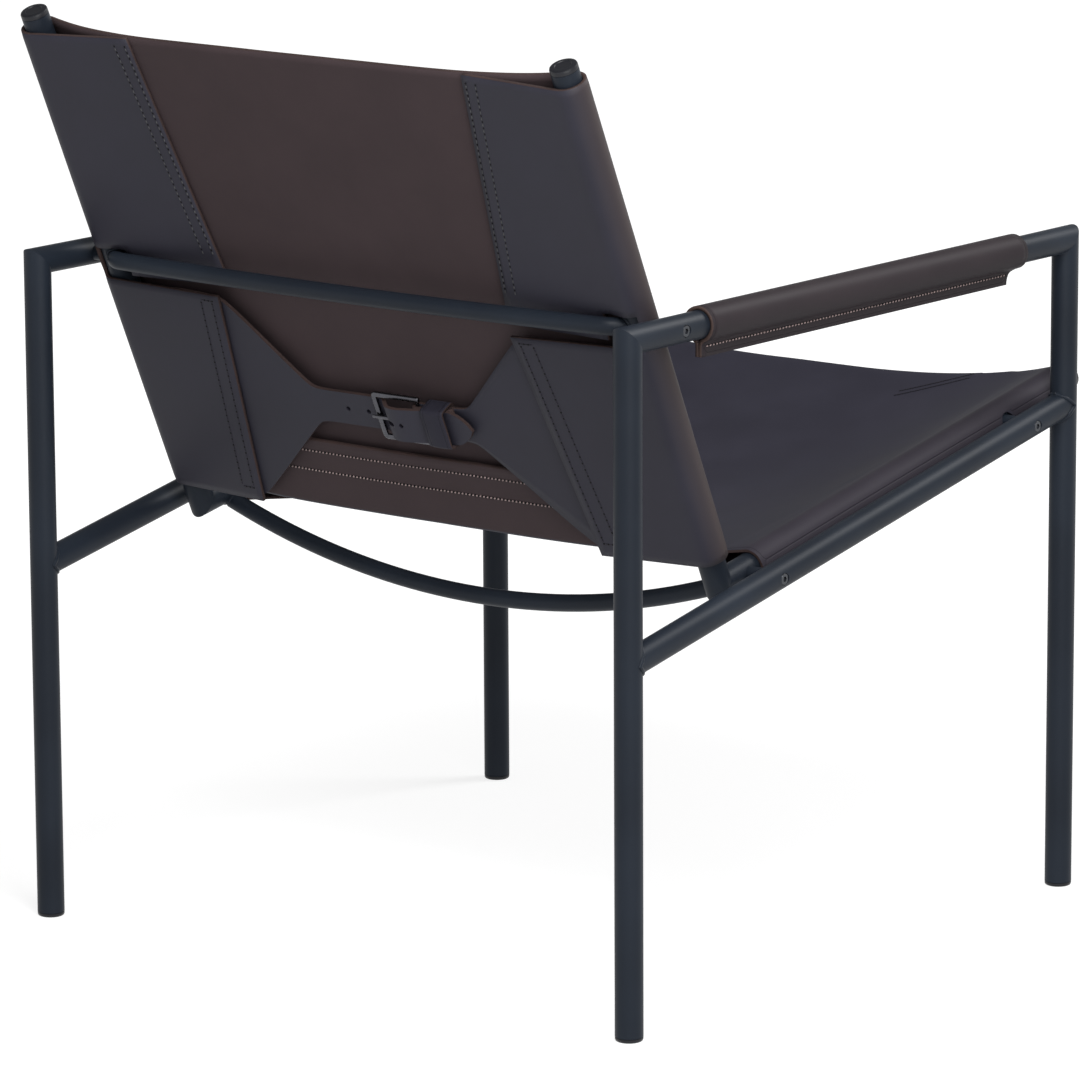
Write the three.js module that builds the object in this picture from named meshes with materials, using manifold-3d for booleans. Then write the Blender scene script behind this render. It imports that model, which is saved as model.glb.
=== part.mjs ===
// Sling lounge chair. Two welded tube side frames are bolted to an inner frame of posts and rails, over which
// the leather back and seat are sleeved; a buckled strap draws each of them tight. Millimetres, Z up, the sitter
// faces -Y.
import * as THREE from "three";
import { mergeVertices } from "three/addons/utils/BufferGeometryUtils.js";
import Module from "manifold-3d";

// Clearance left between pieces that touch
const GAP = 0.3;

// Round tube of the frame, thin round tube of the cross bars
const TUBE_RADIUS = 11;
const TUBE_WALL = 2;
const TUBE_SIDES = 20;
const BAR_RADIUS = 7;
const BAR_WALL = 1.5;
const BAR_SIDES = 12;

// Side frames: distances between tube axes, heights of the axes above the floor
const LEG_SPAN_X = 595;
const LEG_SPAN_Y = 577.2;
const ARM_Z = 538.7;
const RAIL_REAR_Z = 291.9;
const RAIL_FRONT_Z = 403.7;
const GLIDE_FLANGE = 3;
const PLUG_LENGTH = 16;

// Inner frame: its lower rear corner lies on the line of the outer rails
const SIDE_GAP = 33.1;
const INNER_SPAN_X = LEG_SPAN_X - 2 * SIDE_GAP;
const CORNER_AHEAD = 155.6;
const BACK_LEAN = THREE.MathUtils.degToRad(24.1);
const POST_LENGTH = 460;
const SEAT_RAIL_LENGTH = 482;
const CAP_HEAD = 4.5;
const UPPER_BAR_BEHIND = 30.5;
const UPPER_BAR_BOW = 10.5;
const UPPER_BAR_BEND = 16;
const UPPER_BAR_END_IN = 6;
const LOWER_BAR_AHEAD = 31;
const LOWER_BAR_BELOW = 6.5;
const LOWER_BAR_SAG = 48;

// Screws through the outer tubes, spacers and inner tubes
const SCREW_RADIUS = 3;
const SCREW_HEAD_RADIUS = 4.5;
const SCREW_HEAD_HEIGHT = 1.6;
const SCREW_HEAD_SUNK = 0.7;
const SOCKET_RADIUS = 2.2;
const SOCKET_DEPTH = 1.2;
const INSERT_RADIUS = 4.5;
const INSERT_LENGTH = 13;
const INSERT_SUNK = 1.2;
const SCREW_SIDES = 12;
const SPACER_RADIUS = 6;
const SPACER_ROOM = 1.5;
const REAR_SCREW_ALONG = 28;
const FRONT_SCREW_BEHIND = 52.436;

// Leather thicknesses
const HIDE = 3.5;
const STRAP_HIDE = 3;
const SLEEVE_HIDE = 2.9;
const KEEPER_HIDE = 2;
const HEM_SUNK = 0.9;
const PANEL_STEPS = 9;

// Back sling, measured up the posts from the corner
const BACK_BOTTOM = 26;
const BACK_LOWER_FLAP_TOP = 224;
const BACK_UPPER_FLAP_BOTTOM = 229;
const BACK_TOP = 450.5;
const BACK_BOW_TOP = 3.5;
const BACK_BOW_BOTTOM = 6.5;
const BACK_BELLY = 5;
const UPPER_EDGE_TOP_X = 167.5;
const UPPER_EDGE_BOTTOM_X = 141;
const LOWER_EDGE_TOP_X = 148;
const LOWER_EDGE_BOTTOM_X = 173;
const LOWER_EDGE_BEHIND = 18;
const BACK_HEM_TOP = 92;
const BACK_HEM_HALF = 160;
const BAR_NOTCH_TOP = 253;
const BAR_NOTCH_WIDTH = 56;
const BACK_BELT_UP = 132;
const BACK_BELT_BEHIND = 15.5;

// Seat sling, measured forward along the seat rails from the corner
const SEAT_REAR = 40;
const SEAT_FRONT = 470;
const SEAT_DEEP_AT = 235;
const SEAT_SAG_REAR = 4;
const SEAT_SAG_DEEP = 34;
const SEAT_SAG_FRONT = 12.5;
const SEAT_BELLY = 3;
const SEAT_FLAP_X = 150;
const SEAT_FLAP_ROOM = 6;
const SEAT_HEM_REAR = 429;
const SEAT_HEM_HALF = 128;
const SEAT_BELT_ALONG = 245;
const TAB_SLACK = 0.6;

// Belt: tabs under the flaps, strap, buckle and keeper, measured from the strap's middle toward its tip
const STRAP_HALF = 15;
const TAB_ROOT = 200;
const TAB_UP_ROOT = 150;
const TAB_UP = 90;
const TAB_NECK = 74;
const TAB_DOWN_ROOT = 172;
const TAB_DOWN = 104;
const TAB_STEP_UP = 26;
const TAB_STEP_DOWN = 30;
const TAB_SPARE = 4;
const STRAP_TIP = 84;
const STRAP_TIP_LENGTH = 16;
const HOLE_RADIUS = 2;
const HOLE_PITCH = 21;
const FIRST_HOLE = -46.5;
const PIN_AT = 31;
const PIN_RADIUS = 1.5;
const BUCKLE_END = -15;
const BUCKLE_HEEL = 33.5;
const BUCKLE_HALF = 22;
const BUCKLE_BAR = 4.5;
const BUCKLE_THICK = 3;
const PRONG_HALF = 2;
const PRONG_THICK = 2.6;
const PRONG_TIP = -17.5;
const PRONG_LIFT = THREE.MathUtils.degToRad(8);
const FOLD_BACK_END = 66;
const KEEPER_AT = 40;
const KEEPER_WIDTH = 22;
const KEEPER_HALF = 16.6;
const KEEPER_ROOM = 11.7;

// Arm sleeves
const SLEEVE_AHEAD = 86.9;
const SLEEVE_LENGTH = 416.8;
const SLEEVE_FLANGE_BELOW = 25;
const SLEEVE_CUT = 14;

const modeller = await Module();
modeller.setup();
const { Manifold, Mesh: SolidMesh } = modeller;
const V = (x, y, z) => new THREE.Vector3(x, y, z);
const P = (x, y) => new THREE.Vector2(x, y);

// Closed geometry as a solid, and a finished solid as geometry
const solid = (shape) => {
  const bare = new THREE.BufferGeometry();
  bare.setAttribute("position", (shape.index ? shape.toNonIndexed() : shape).getAttribute("position"));
  const joined = mergeVertices(bare, 1e-4);
  const triVerts = new Uint32Array(joined.index.array);
  const vertProperties = joined.attributes.position.array;
  return new Manifold(new SolidMesh({ numProp: 3, vertProperties, triVerts }));
};
const add = (group, name, material, body) => {
  const { vertProperties, triVerts } = body.getMesh();
  const shape = new THREE.BufferGeometry();
  shape.setAttribute("position", new THREE.BufferAttribute(vertProperties, 3));
  shape.setIndex(new THREE.BufferAttribute(triVerts, 1));
  shape.computeVertexNormals();
  const mesh = new THREE.Mesh(shape, material);
  mesh.name = name;
  group.add(mesh);
};

// Round rod between two points, tapered where the end radius differs
const rod = (from, to, radius, sides = TUBE_SIDES, endRadius = radius) => {
  const along = to.clone().sub(from);
  const shape = new THREE.CylinderGeometry(endRadius, radius, along.length(), sides);
  shape.applyQuaternion(new THREE.Quaternion().setFromUnitVectors(V(0, 1, 0), along.clone().normalize()));
  const middle = from.clone().lerp(to, 0.5);
  return solid(shape.translate(middle.x, middle.y, middle.z));
};
const pipe = (from, to) => {
  const past = to.clone().sub(from).normalize();
  const bore = rod(from.clone().sub(past), to.clone().add(past), TUBE_RADIUS - TUBE_WALL);
  return rod(from, to, TUBE_RADIUS).subtract(bore);
};
const block = (low, high) => {
  const size = high.clone().sub(low);
  const middle = low.clone().lerp(high, 0.5);
  return solid(new THREE.BoxGeometry(size.x, size.y, size.z).translate(middle.x, middle.y, middle.z));
};

// All that lies beyond a plane
const beyond = (point, normal) => {
  const size = 400;
  const shape = new THREE.BoxGeometry(size, size, size).translate(0, 0, size / 2);
  shape.applyQuaternion(new THREE.Quaternion().setFromUnitVectors(V(0, 0, 1), normal.clone().normalize()));
  return solid(shape.translate(point.x, point.y, point.z));
};

// Outline in X and Z raised between two heights of Y, and outline in X and Y run between two places on Z
const plate = (outline, low, high) => {
  const settings = { depth: high - low, bevelEnabled: false };
  const shape = new THREE.ExtrudeGeometry(new THREE.Shape(outline), settings);
  return solid(shape.rotateX(Math.PI / 2).translate(0, high, 0));
};
const run = (outline, from, to) => {
  const settings = { depth: to - from, bevelEnabled: false };
  const shape = new THREE.ExtrudeGeometry(new THREE.Shape(outline), settings);
  return solid(shape.translate(0, 0, from));
};

// Tube bent along a curve
const bent = (curve, steps) => {
  const ring = new THREE.Shape().absarc(0, 0, BAR_RADIUS, 0, Math.PI * 2);
  ring.holes.push(new THREE.Path().absarc(0, 0, BAR_RADIUS - BAR_WALL, 0, Math.PI * 2, true));
  return solid(new THREE.ExtrudeGeometry(ring, { extrudePath: curve, steps, curveSegments: BAR_SIDES / 2 }));
};

// Outline of a sheet of even thickness that follows a line
const ribbon = (line, thickness) => {
  const side = (sign) =>
    line.map((point, i) => {
      const arriving = point.clone().sub(line[Math.max(i - 1, 0)]).normalize();
      const leaving = line[Math.min(i + 1, line.length - 1)].clone().sub(point).normalize();
      const along = arriving.clone().add(leaving).normalize();
      const widen = 1 / Math.max(along.dot(arriving), along.dot(leaving));
      const reach = (sign * thickness * widen) / 2;
      return P(point.x - along.y * reach, point.y + along.x * reach);
    });
  return [...side(-1), ...side(1).reverse()];
};

// Sheet of leather: its centre line is given at each station along Z
const hide = (stations, lineAt, thickness) => {
  const outlines = stations.map((station) => ribbon(lineAt(station), thickness));
  if (THREE.ShapeUtils.isClockWise(outlines[0])) outlines.forEach((outline) => outline.reverse());
  const count = outlines[0].length;
  const last = (stations.length - 1) * count;
  const faces = [];
  for (let k = 0; k < last; k += count) {
    for (let i = 0; i < count; i += 1) {
      const a = k + i;
      const b = k + ((i + 1) % count);
      faces.push(a, b, b + count, a, b + count, a + count);
    }
  }
  THREE.ShapeUtils.triangulateShape(outlines[0], []).forEach(([a, b, c]) => faces.push(c, b, a));
  const far = outlines[stations.length - 1];
  THREE.ShapeUtils.triangulateShape(far, []).forEach(([a, b, c]) => faces.push(last + a, last + b, last + c));
  const onStation = (outline, k) => outline.flatMap((point) => [point.x, point.y, stations[k]]);
  const places = outlines.flatMap(onStation);
  const shape = new THREE.BufferGeometry();
  shape.setAttribute("position", new THREE.Float32BufferAttribute(places, 3));
  shape.setIndex(faces);
  return solid(shape);
};

const coat = new THREE.MeshStandardMaterial({ color: 0x262b30, roughness: 0.5, metalness: 0.3 });
const nylon = new THREE.MeshStandardMaterial({ color: 0x141516, roughness: 0.6 });
const zinc = new THREE.MeshStandardMaterial({ color: 0x34373a, roughness: 0.4, metalness: 0.9 });
const steel = new THREE.MeshStandardMaterial({ color: 0xb9bbbd, roughness: 0.35, metalness: 1 });
const nickel = new THREE.MeshStandardMaterial({ color: 0x5b5d60, roughness: 0.25, metalness: 1 });
const leather = new THREE.MeshStandardMaterial({ color: 0x3c3232, roughness: 0.6 });
const softLeather = new THREE.MeshStandardMaterial({ color: 0x463838, roughness: 0.65 });

// Places of the frame, in the chair's own coordinates
const outerX = LEG_SPAN_X / 2;
const innerX = INNER_SPAN_X / 2;
const rearY = LEG_SPAN_Y / 2;
const slope = Math.atan2(RAIL_FRONT_Z - RAIL_REAR_Z, LEG_SPAN_Y);
const cornerY = rearY - CORNER_AHEAD;
const cornerZ = RAIL_REAR_Z + CORNER_AHEAD * Math.tan(slope);
const backPoint = (x, up) => V(x, cornerY + up * Math.sin(BACK_LEAN), cornerZ + up * Math.cos(BACK_LEAN));
const seatPoint = (x, along) => V(x, cornerY - along * Math.cos(slope), cornerZ + along * Math.sin(slope));
const armUp = (ARM_Z - cornerZ) / Math.cos(BACK_LEAN);
const frontScrewAlong = (LEG_SPAN_Y - CORNER_AHEAD) / Math.cos(slope) - FRONT_SCREW_BEHIND;
const sleeveRearY = rearY - SLEEVE_AHEAD;
const tabTop = -TAB_UP - TAB_SPARE;
const tabStations = [
  ...[tabTop, tabTop + TAB_STEP_UP, tabTop + 2 * TAB_STEP_UP, -STRAP_HALF],
  ...[STRAP_HALF, STRAP_HALF + TAB_STEP_DOWN, STRAP_HALF + 2 * TAB_STEP_DOWN, TAB_DOWN + TAB_SPARE],
];
const sides = [
  ["left", 1],
  ["right", -1],
];

const chair = new THREE.Group();
chair.name = "chair";
const backFrame = new THREE.Group();
backFrame.position.set(0, cornerY, cornerZ);
backFrame.rotation.x = -BACK_LEAN;
const seatFrame = new THREE.Group();
seatFrame.position.set(0, cornerY, cornerZ);
seatFrame.rotation.x = Math.PI / 2 - slope;
chair.add(backFrame, seatFrame);

// Places of the screws on each side: what the outer tube and the inner tube run along there
const armAxis = [V(outerX, rearY, ARM_Z), V(outerX, -rearY, ARM_Z)];
const railAxis = [V(outerX, rearY, RAIL_REAR_Z), V(outerX, -rearY, RAIL_FRONT_Z)];
const postAxis = [backPoint(innerX, -40), backPoint(innerX, POST_LENGTH)];
const seatRailAxis = [seatPoint(innerX, -40), seatPoint(innerX, SEAT_RAIL_LENGTH)];
const screws = [
  { name: "arm", at: backPoint(0, armUp), outer: armAxis, inner: postAxis },
  { name: "rear_rail", at: seatPoint(0, REAR_SCREW_ALONG), outer: railAxis, inner: seatRailAxis },
  { name: "front_rail", at: seatPoint(0, frontScrewAlong), outer: railAxis, inner: seatRailAxis },
];
const onSide = (sign, point) => V(sign * point.x, point.y, point.z);
const across = (sign, at, from, to, radius, endRadius = radius) =>
  rod(V(sign * from, at.y, at.z), V(sign * to, at.y, at.z), radius, SCREW_SIDES, endRadius);
const headOut = outerX + TUBE_RADIUS - SCREW_HEAD_SUNK;
const headIn = headOut - SCREW_HEAD_HEIGHT;

// Countersunk hole through an outer tube, plain hole in the outer wall of an inner tube
const drillOuter = (body, sign, at) =>
  body
    .subtract(across(sign, at, outerX - TUBE_RADIUS - 1, headIn, SCREW_RADIUS + GAP))
    .subtract(across(sign, at, headIn - GAP, headOut, SCREW_RADIUS + GAP, SCREW_HEAD_RADIUS + GAP))
    .subtract(across(sign, at, headOut - 0.1, headOut + 4, SCREW_HEAD_RADIUS + GAP));
const drillInner = (body, sign, at) =>
  body.subtract(across(sign, at, innerX, innerX + TUBE_RADIUS + 1, INSERT_RADIUS + GAP));

for (const [name, sign] of sides) {
  // Side frame: the legs are mitred to the arm tube, the rail is coped between the legs
  const legEnds = [GLIDE_FLANGE + GAP, ARM_Z + TUBE_RADIUS * 2];
  const legAxis = (y) => legEnds.map((z) => V(sign * outerX, y, z));
  const mitre = (y, facing) => {
    const normal = V(0, Math.sign(y), -1).multiplyScalar(facing).normalize();
    return beyond(V(sign * outerX, y, ARM_Z).addScaledVector(normal, -GAP / 2), normal);
  };
  for (const [end, y] of [["rear", rearY], ["front", -rearY]]) {
    add(chair, `${name}_${end}_leg`, coat, pipe(...legAxis(y)).subtract(mitre(y, -1)));
    const foot = V(sign * outerX, y, 0);
    const flangeTop = foot.clone().setZ(GLIDE_FLANGE);
    const plug = rod(foot, foot.clone().setZ(GLIDE_FLANGE + PLUG_LENGTH), TUBE_RADIUS - TUBE_WALL - GAP);
    const rim = rod(foot, flangeTop, TUBE_RADIUS - 1, TUBE_SIDES, TUBE_RADIUS);
    add(chair, `${name}_${end}_glide`, nylon, rim.add(plug));
  }
  const reach = V(0, TUBE_RADIUS * 2, 0);
  const armTube = pipe(onSide(sign, armAxis[0]).add(reach), onSide(sign, armAxis[1]).sub(reach))
    .subtract(mitre(rearY, 1))
    .subtract(mitre(-rearY, 1));
  add(chair, `${name}_arm_tube`, coat, drillOuter(armTube, sign, screws[0].at));
  const rail = pipe(...railAxis.map((point) => onSide(sign, point)))
    .subtract(rod(...legAxis(rearY), TUBE_RADIUS + GAP))
    .subtract(rod(...legAxis(-rearY), TUBE_RADIUS + GAP));
  const drilledRail = drillOuter(drillOuter(rail, sign, screws[1].at), sign, screws[2].at);
  add(chair, `${name}_outer_rail`, coat, drilledRail);

  // Inner frame: post and seat rail are mitred at the corner
  const normal = backPoint(0, 1).sub(seatPoint(0, 1)).normalize();
  const corner = onSide(sign, seatPoint(innerX, 0));
  const upper = beyond(corner.clone().addScaledVector(normal, -GAP / 2), normal);
  const lower = beyond(corner.clone().addScaledVector(normal, GAP / 2), normal.clone().negate());
  const post = pipe(...postAxis.map((point) => onSide(sign, point))).subtract(lower);
  add(chair, `${name}_back_post`, coat, drillInner(post, sign, screws[0].at));
  const seatRail = pipe(...seatRailAxis.map((point) => onSide(sign, point))).subtract(upper);
  const drilledSeatRail = drillInner(drillInner(seatRail, sign, screws[1].at), sign, screws[2].at);
  add(chair, `${name}_seat_rail`, coat, drilledSeatRail);

  // Caps that plug the open tube ends
  const cap = (end, outward) => {
    const face = end.clone().addScaledVector(outward, GAP);
    const shoulder = end.clone().addScaledVector(outward, CAP_HEAD - 1.5);
    const tip = end.clone().addScaledVector(outward, CAP_HEAD);
    const inside = end.clone().addScaledVector(outward, -PLUG_LENGTH);
    const plug = rod(inside, shoulder, TUBE_RADIUS - TUBE_WALL - GAP);
    const head = rod(face, shoulder, TUBE_RADIUS);
    return plug.add(head).add(rod(shoulder, tip, TUBE_RADIUS, TUBE_SIDES, TUBE_RADIUS - 1.5));
  };
  const postTop = onSide(sign, postAxis[1]);
  const railEnd = onSide(sign, seatRailAxis[1]);
  add(chair, `${name}_post_cap`, nylon, cap(postTop, backPoint(0, 1).sub(backPoint(0, 0))));
  add(chair, `${name}_rail_cap`, nylon, cap(railEnd, seatPoint(0, 1).sub(seatPoint(0, 0))));

  // Fasteners: screw from outside, spacer between the tubes, thread insert in the inner tube
  for (const { name: place, at, outer, inner } of screws) {
    const insertIn = innerX + TUBE_RADIUS - INSERT_SUNK - INSERT_LENGTH;
    const shank = across(sign, at, insertIn, headIn, SCREW_RADIUS);
    const head = across(sign, at, headIn, headOut, SCREW_RADIUS, SCREW_HEAD_RADIUS);
    const socketFrom = V(sign * (headOut - SOCKET_DEPTH), at.y, at.z);
    const socket = rod(socketFrom, V(sign * (headOut + 1), at.y, at.z), SOCKET_RADIUS, 6);
    add(chair, `${name}_${place}_screw`, zinc, shank.add(head).subtract(socket));
    const spacer = across(sign, at, innerX, outerX, SPACER_RADIUS)
      .subtract(rod(...outer.map((point) => onSide(sign, point)), TUBE_RADIUS + GAP))
      .subtract(rod(...inner.map((point) => onSide(sign, point)), TUBE_RADIUS + GAP))
      .subtract(across(sign, at, innerX, outerX, SCREW_RADIUS + GAP));
    add(chair, `${name}_${place}_spacer`, coat, spacer);
    const insert = across(sign, at, insertIn, insertIn + INSERT_LENGTH, INSERT_RADIUS)
      .subtract(across(sign, at, insertIn - 1, insertIn + INSERT_LENGTH + 1, SCREW_RADIUS + GAP));
    add(chair, `${name}_${place}_insert`, steel, insert);
  }

  // Arm sleeve: a strip of leather folded round the arm tube and sewn to itself below
  const sleeveOuter = TUBE_RADIUS + GAP + SLEEVE_HIDE;
  const turn = Math.asin(SLEEVE_HIDE / sleeveOuter);
  const section = new THREE.Shape();
  section.moveTo(SLEEVE_HIDE, -SLEEVE_FLANGE_BELOW);
  section.absarc(0, 0, sleeveOuter, turn - Math.PI / 2, Math.PI * 1.5 - turn);
  section.lineTo(-SLEEVE_HIDE, -SLEEVE_FLANGE_BELOW);
  section.holes.push(new THREE.Path().absarc(0, 0, TUBE_RADIUS + GAP, 0, Math.PI * 2, true));
  const settings = { depth: SLEEVE_LENGTH, bevelEnabled: false, curveSegments: 22 };
  const wrap = new THREE.ExtrudeGeometry(section, settings);
  wrap.rotateX(Math.PI / 2).translate(sign * outerX, sleeveRearY, ARM_Z);
  const cutAt = V(0, sleeveRearY - SLEEVE_LENGTH, ARM_Z - SLEEVE_FLANGE_BELOW);
  const cut = across(sign, cutAt, outerX - SLEEVE_HIDE * 2, outerX + SLEEVE_HIDE * 2, SLEEVE_CUT);
  add(chair, `${name}_arm_sleeve`, softLeather, solid(wrap).subtract(cut));
}

// Cross bars between the posts, at the height of the arms, and between the seat rails
const barY = cornerY + armUp * Math.sin(BACK_LEAN) + UPPER_BAR_BEHIND;
const barHalf = innerX - UPPER_BAR_END_IN - UPPER_BAR_BEND;
const upperHalf = [];
for (let i = 0; i <= 5; i += 1) {
  const x = (barHalf * i) / 5;
  upperHalf.push(V(x, barY - UPPER_BAR_BOW * (x / barHalf) ** 2, ARM_Z));
}
for (let i = 1; i <= 4; i += 1) {
  const turn = (Math.PI / 2) * (i / 4);
  const bendY = barY - UPPER_BAR_BOW - UPPER_BAR_BEND * (1 - Math.cos(turn));
  upperHalf.push(V(barHalf + UPPER_BAR_BEND * Math.sin(turn), bendY, ARM_Z));
}
const upperLine = [...upperHalf.slice(1).reverse().map((point) => onSide(-1, point)), ...upperHalf];
let upperBar = bent(new THREE.CatmullRomCurve3(upperLine), 26);
const lowerAt = seatPoint(innerX, LOWER_BAR_AHEAD);
const lowerEnd = lowerAt.clone().setZ(lowerAt.z - LOWER_BAR_BELOW);
const lowerMiddle = V(0, lowerAt.y, lowerEnd.z - LOWER_BAR_SAG * 2);
let lowerBar = bent(new THREE.QuadraticBezierCurve3(onSide(-1, lowerEnd), lowerMiddle, lowerEnd), 16);
for (const [, sign] of sides) {
  upperBar = upperBar.subtract(rod(...postAxis.map((point) => onSide(sign, point)), TUBE_RADIUS + GAP));
  lowerBar = lowerBar.subtract(rod(...seatRailAxis.map((point) => onSide(sign, point)), TUBE_RADIUS + GAP));
}
const between = (x) => block(V(-x, -LEG_SPAN_Y, 0), V(x, LEG_SPAN_Y, ARM_Z));
add(chair, "upper_cross_bar", coat, upperBar);
add(chair, "lower_cross_bar", coat, lowerBar.intersect(between(innerX - TUBE_RADIUS / 2)));

// Half of a sling's centre line, from the panel's middle over the tube to the end of its flap. The panel side of
// the tubes is up; the belly says how flat the panel is in the middle.
const wrapRadius = TUBE_RADIUS + GAP + HIDE / 2;
const panelAt = (sag, belly) => {
  let angle = 0.2;
  for (let i = 0; i < 12; i += 1) {
    const rise = sag + wrapRadius * Math.cos(angle);
    angle = Math.atan((belly * rise) / (innerX - wrapRadius * Math.sin(angle)));
  }
  const width = innerX - wrapRadius * Math.sin(angle);
  const rise = sag + wrapRadius * Math.cos(angle);
  return { angle, width, level: (x) => -sag + rise * (x / width) ** belly };
};
const slingHalf = (panel, flap) => {
  const half = [];
  for (let i = 0; i <= PANEL_STEPS; i += 1) {
    const x = panel.width * (1 - (1 - i / PANEL_STEPS) ** 1.5);
    half.push(P(x, panel.level(x)));
  }
  const offX = flap ? flap.x - innerX : 0;
  const far = flap ? Math.hypot(offX, flap.y) : 1;
  const leave = flap ? Math.PI + Math.atan2(-offX, -flap.y) - Math.acos(wrapRadius / far) : Math.PI * 0.55;
  for (let i = 1; i <= 13; i += 1) {
    const turn = -panel.angle + ((leave + panel.angle) * i) / 13;
    half.push(P(innerX + wrapRadius * Math.sin(turn), wrapRadius * Math.cos(turn)));
  }
  if (flap) half.push(half[half.length - 1].clone().lerp(flap, 0.5), flap);
  return half;
};
const mirrored = (half, flip) => {
  const line = [...half.slice(1).reverse().map((point) => P(-point.x, point.y)), ...half];
  return line.map((point) => P(point.x, flip * point.y));
};
const levelOf = (half, x) => {
  const [from, to] = [half[half.length - 3], half[half.length - 1]];
  return THREE.MathUtils.lerp(from.y, to.y, (x - from.x) / (to.x - from.x));
};

// Back sling: upper flaps sewn to the panel, lower flaps drawn together by the belt, a hem along the bottom
const backBow = (up) => THREE.MathUtils.mapLinear(up, BACK_BOTTOM, BACK_TOP, BACK_BOW_BOTTOM, BACK_BOW_TOP);
const backPanel = (up) => panelAt(backBow(up), BACK_BELLY);
const upperFlap = (up) => {
  const edge = [BACK_UPPER_FLAP_BOTTOM, BACK_TOP, UPPER_EDGE_BOTTOM_X, UPPER_EDGE_TOP_X];
  const x = THREE.MathUtils.mapLinear(up, ...edge);
  return P(x, backPanel(up).level(x) - HIDE - GAP);
};
const lowerFlap = (up) => {
  const edge = [BACK_BOTTOM, BACK_LOWER_FLAP_TOP, LOWER_EDGE_BOTTOM_X, LOWER_EDGE_TOP_X];
  return P(THREE.MathUtils.mapLinear(up, ...edge), -LOWER_EDGE_BEHIND);
};
const backHem = (up) => {
  const line = [-1, -0.6, -0.2, 0.2, 0.6, 1].map((part) => part * BACK_HEM_HALF);
  return line.map((x) => P(x, HIDE - HEM_SUNK - backPanel(up).level(Math.abs(x))));
};
const upperPart = (up) => mirrored(slingHalf(backPanel(up), upperFlap(up)), -1);
const middlePart = (up) => mirrored(slingHalf(backPanel(up)), -1);
const lowerPart = (up) => mirrored(slingHalf(backPanel(up), lowerFlap(up)), -1);
let back = hide([BACK_BOTTOM, BACK_LOWER_FLAP_TOP], lowerPart, HIDE)
  .add(hide([BACK_LOWER_FLAP_TOP, BACK_UPPER_FLAP_BOTTOM], middlePart, HIDE))
  .add(hide([BACK_UPPER_FLAP_BOTTOM, BACK_TOP], upperPart, HIDE))
  .add(hide([BACK_BOTTOM + 1.5, BACK_HEM_TOP], backHem, HIDE));
for (const [, sign] of sides) {
  const at = P(innerX - BAR_NOTCH_WIDTH, innerX + TUBE_RADIUS / 2);
  const low = V(Math.min(sign * at.x, sign * at.y), TUBE_RADIUS / 2, BACK_UPPER_FLAP_BOTTOM - 1);
  const high = V(Math.max(sign * at.x, sign * at.y), TUBE_RADIUS * 3, BAR_NOTCH_TOP);
  const spacerHole = [V(sign * innerX, 0, armUp), V(sign * outerX, 0, armUp)];
  back = back.subtract(block(low, high)).subtract(rod(...spacerHole, SPACER_RADIUS + SPACER_ROOM, SCREW_SIDES));
}
add(backFrame, "back_sling", leather, back);

// Seat sling: flaps under the rails, a hem folded under the front edge. The hide's panel and its two sleeves are
// kept apart along the lines where the panel meets the rails, so that the panel stays a plain dished sheet.
const seatSag = (along) => {
  const behind = (along - SEAT_REAR) * (along - SEAT_FRONT);
  const deep = ((along - SEAT_DEEP_AT) / (SEAT_FRONT - SEAT_REAR)) * SEAT_SAG_FRONT * (along - SEAT_REAR);
  const rear = ((along - SEAT_DEEP_AT) / (SEAT_REAR - SEAT_FRONT)) * SEAT_SAG_REAR * (along - SEAT_FRONT);
  const peak = (SEAT_DEEP_AT - SEAT_REAR) * (SEAT_DEEP_AT - SEAT_FRONT);
  const ends = deep / (SEAT_FRONT - SEAT_DEEP_AT) + rear / (SEAT_REAR - SEAT_DEEP_AT);
  return (SEAT_SAG_DEEP * behind) / peak + ends;
};
const seatPanel = (along) => panelAt(seatSag(along), SEAT_BELLY);
const seatFlap = (along) => {
  const part = (along - SEAT_REAR) / (SEAT_FRONT - SEAT_REAR);
  const room = HIDE + GAP + SEAT_FLAP_ROOM * 4 * part * (1 - part);
  return P(SEAT_FLAP_X, seatPanel(along).level(SEAT_FLAP_X) - room);
};
const seatHalf = (along) => slingHalf(seatPanel(along), seatFlap(along));
const seatHem = (along) => {
  const line = [-1, -0.6, -0.2, 0.2, 0.6, 1].map((part) => part * SEAT_HEM_HALF);
  return line.map((x) => P(x, seatPanel(along).level(Math.abs(x)) - HIDE + HEM_SUNK));
};
const overTabs = tabStations.map((station) => SEAT_BELT_ALONG + station);
const seatStations = [SEAT_REAR, 95, ...overTabs, 390, SEAT_HEM_REAR, SEAT_FRONT];
const seatPanelLine = (along) => mirrored(seatHalf(along).slice(0, PANEL_STEPS + 1), 1);
const seatSleeveLine = (sign, along) => {
  const [edge, ...rest] = seatHalf(along).slice(PANEL_STEPS);
  const start = edge.clone().lerp(rest[0], GAP / edge.distanceTo(rest[0]));
  return [start, ...rest].map((point) => P(sign * point.x, point.y));
};
const seatHemPart = hide([SEAT_HEM_REAR, SEAT_FRONT], seatHem, HIDE);
add(seatFrame, "seat_sling", leather, hide(seatStations, seatPanelLine, HIDE).add(seatHemPart));
for (const [name, sign] of sides) {
  const spacerHole = [V(sign * innerX, 0, frontScrewAlong), V(sign * outerX, 0, frontScrewAlong)];
  const sleeve = hide(seatStations, (along) => seatSleeveLine(sign, along), HIDE);
  const hole = rod(...spacerHole, SPACER_RADIUS + SPACER_ROOM, SCREW_SIDES);
  add(seatFrame, `${name}_seat_sleeve`, leather, sleeve.subtract(hole));
}

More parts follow.
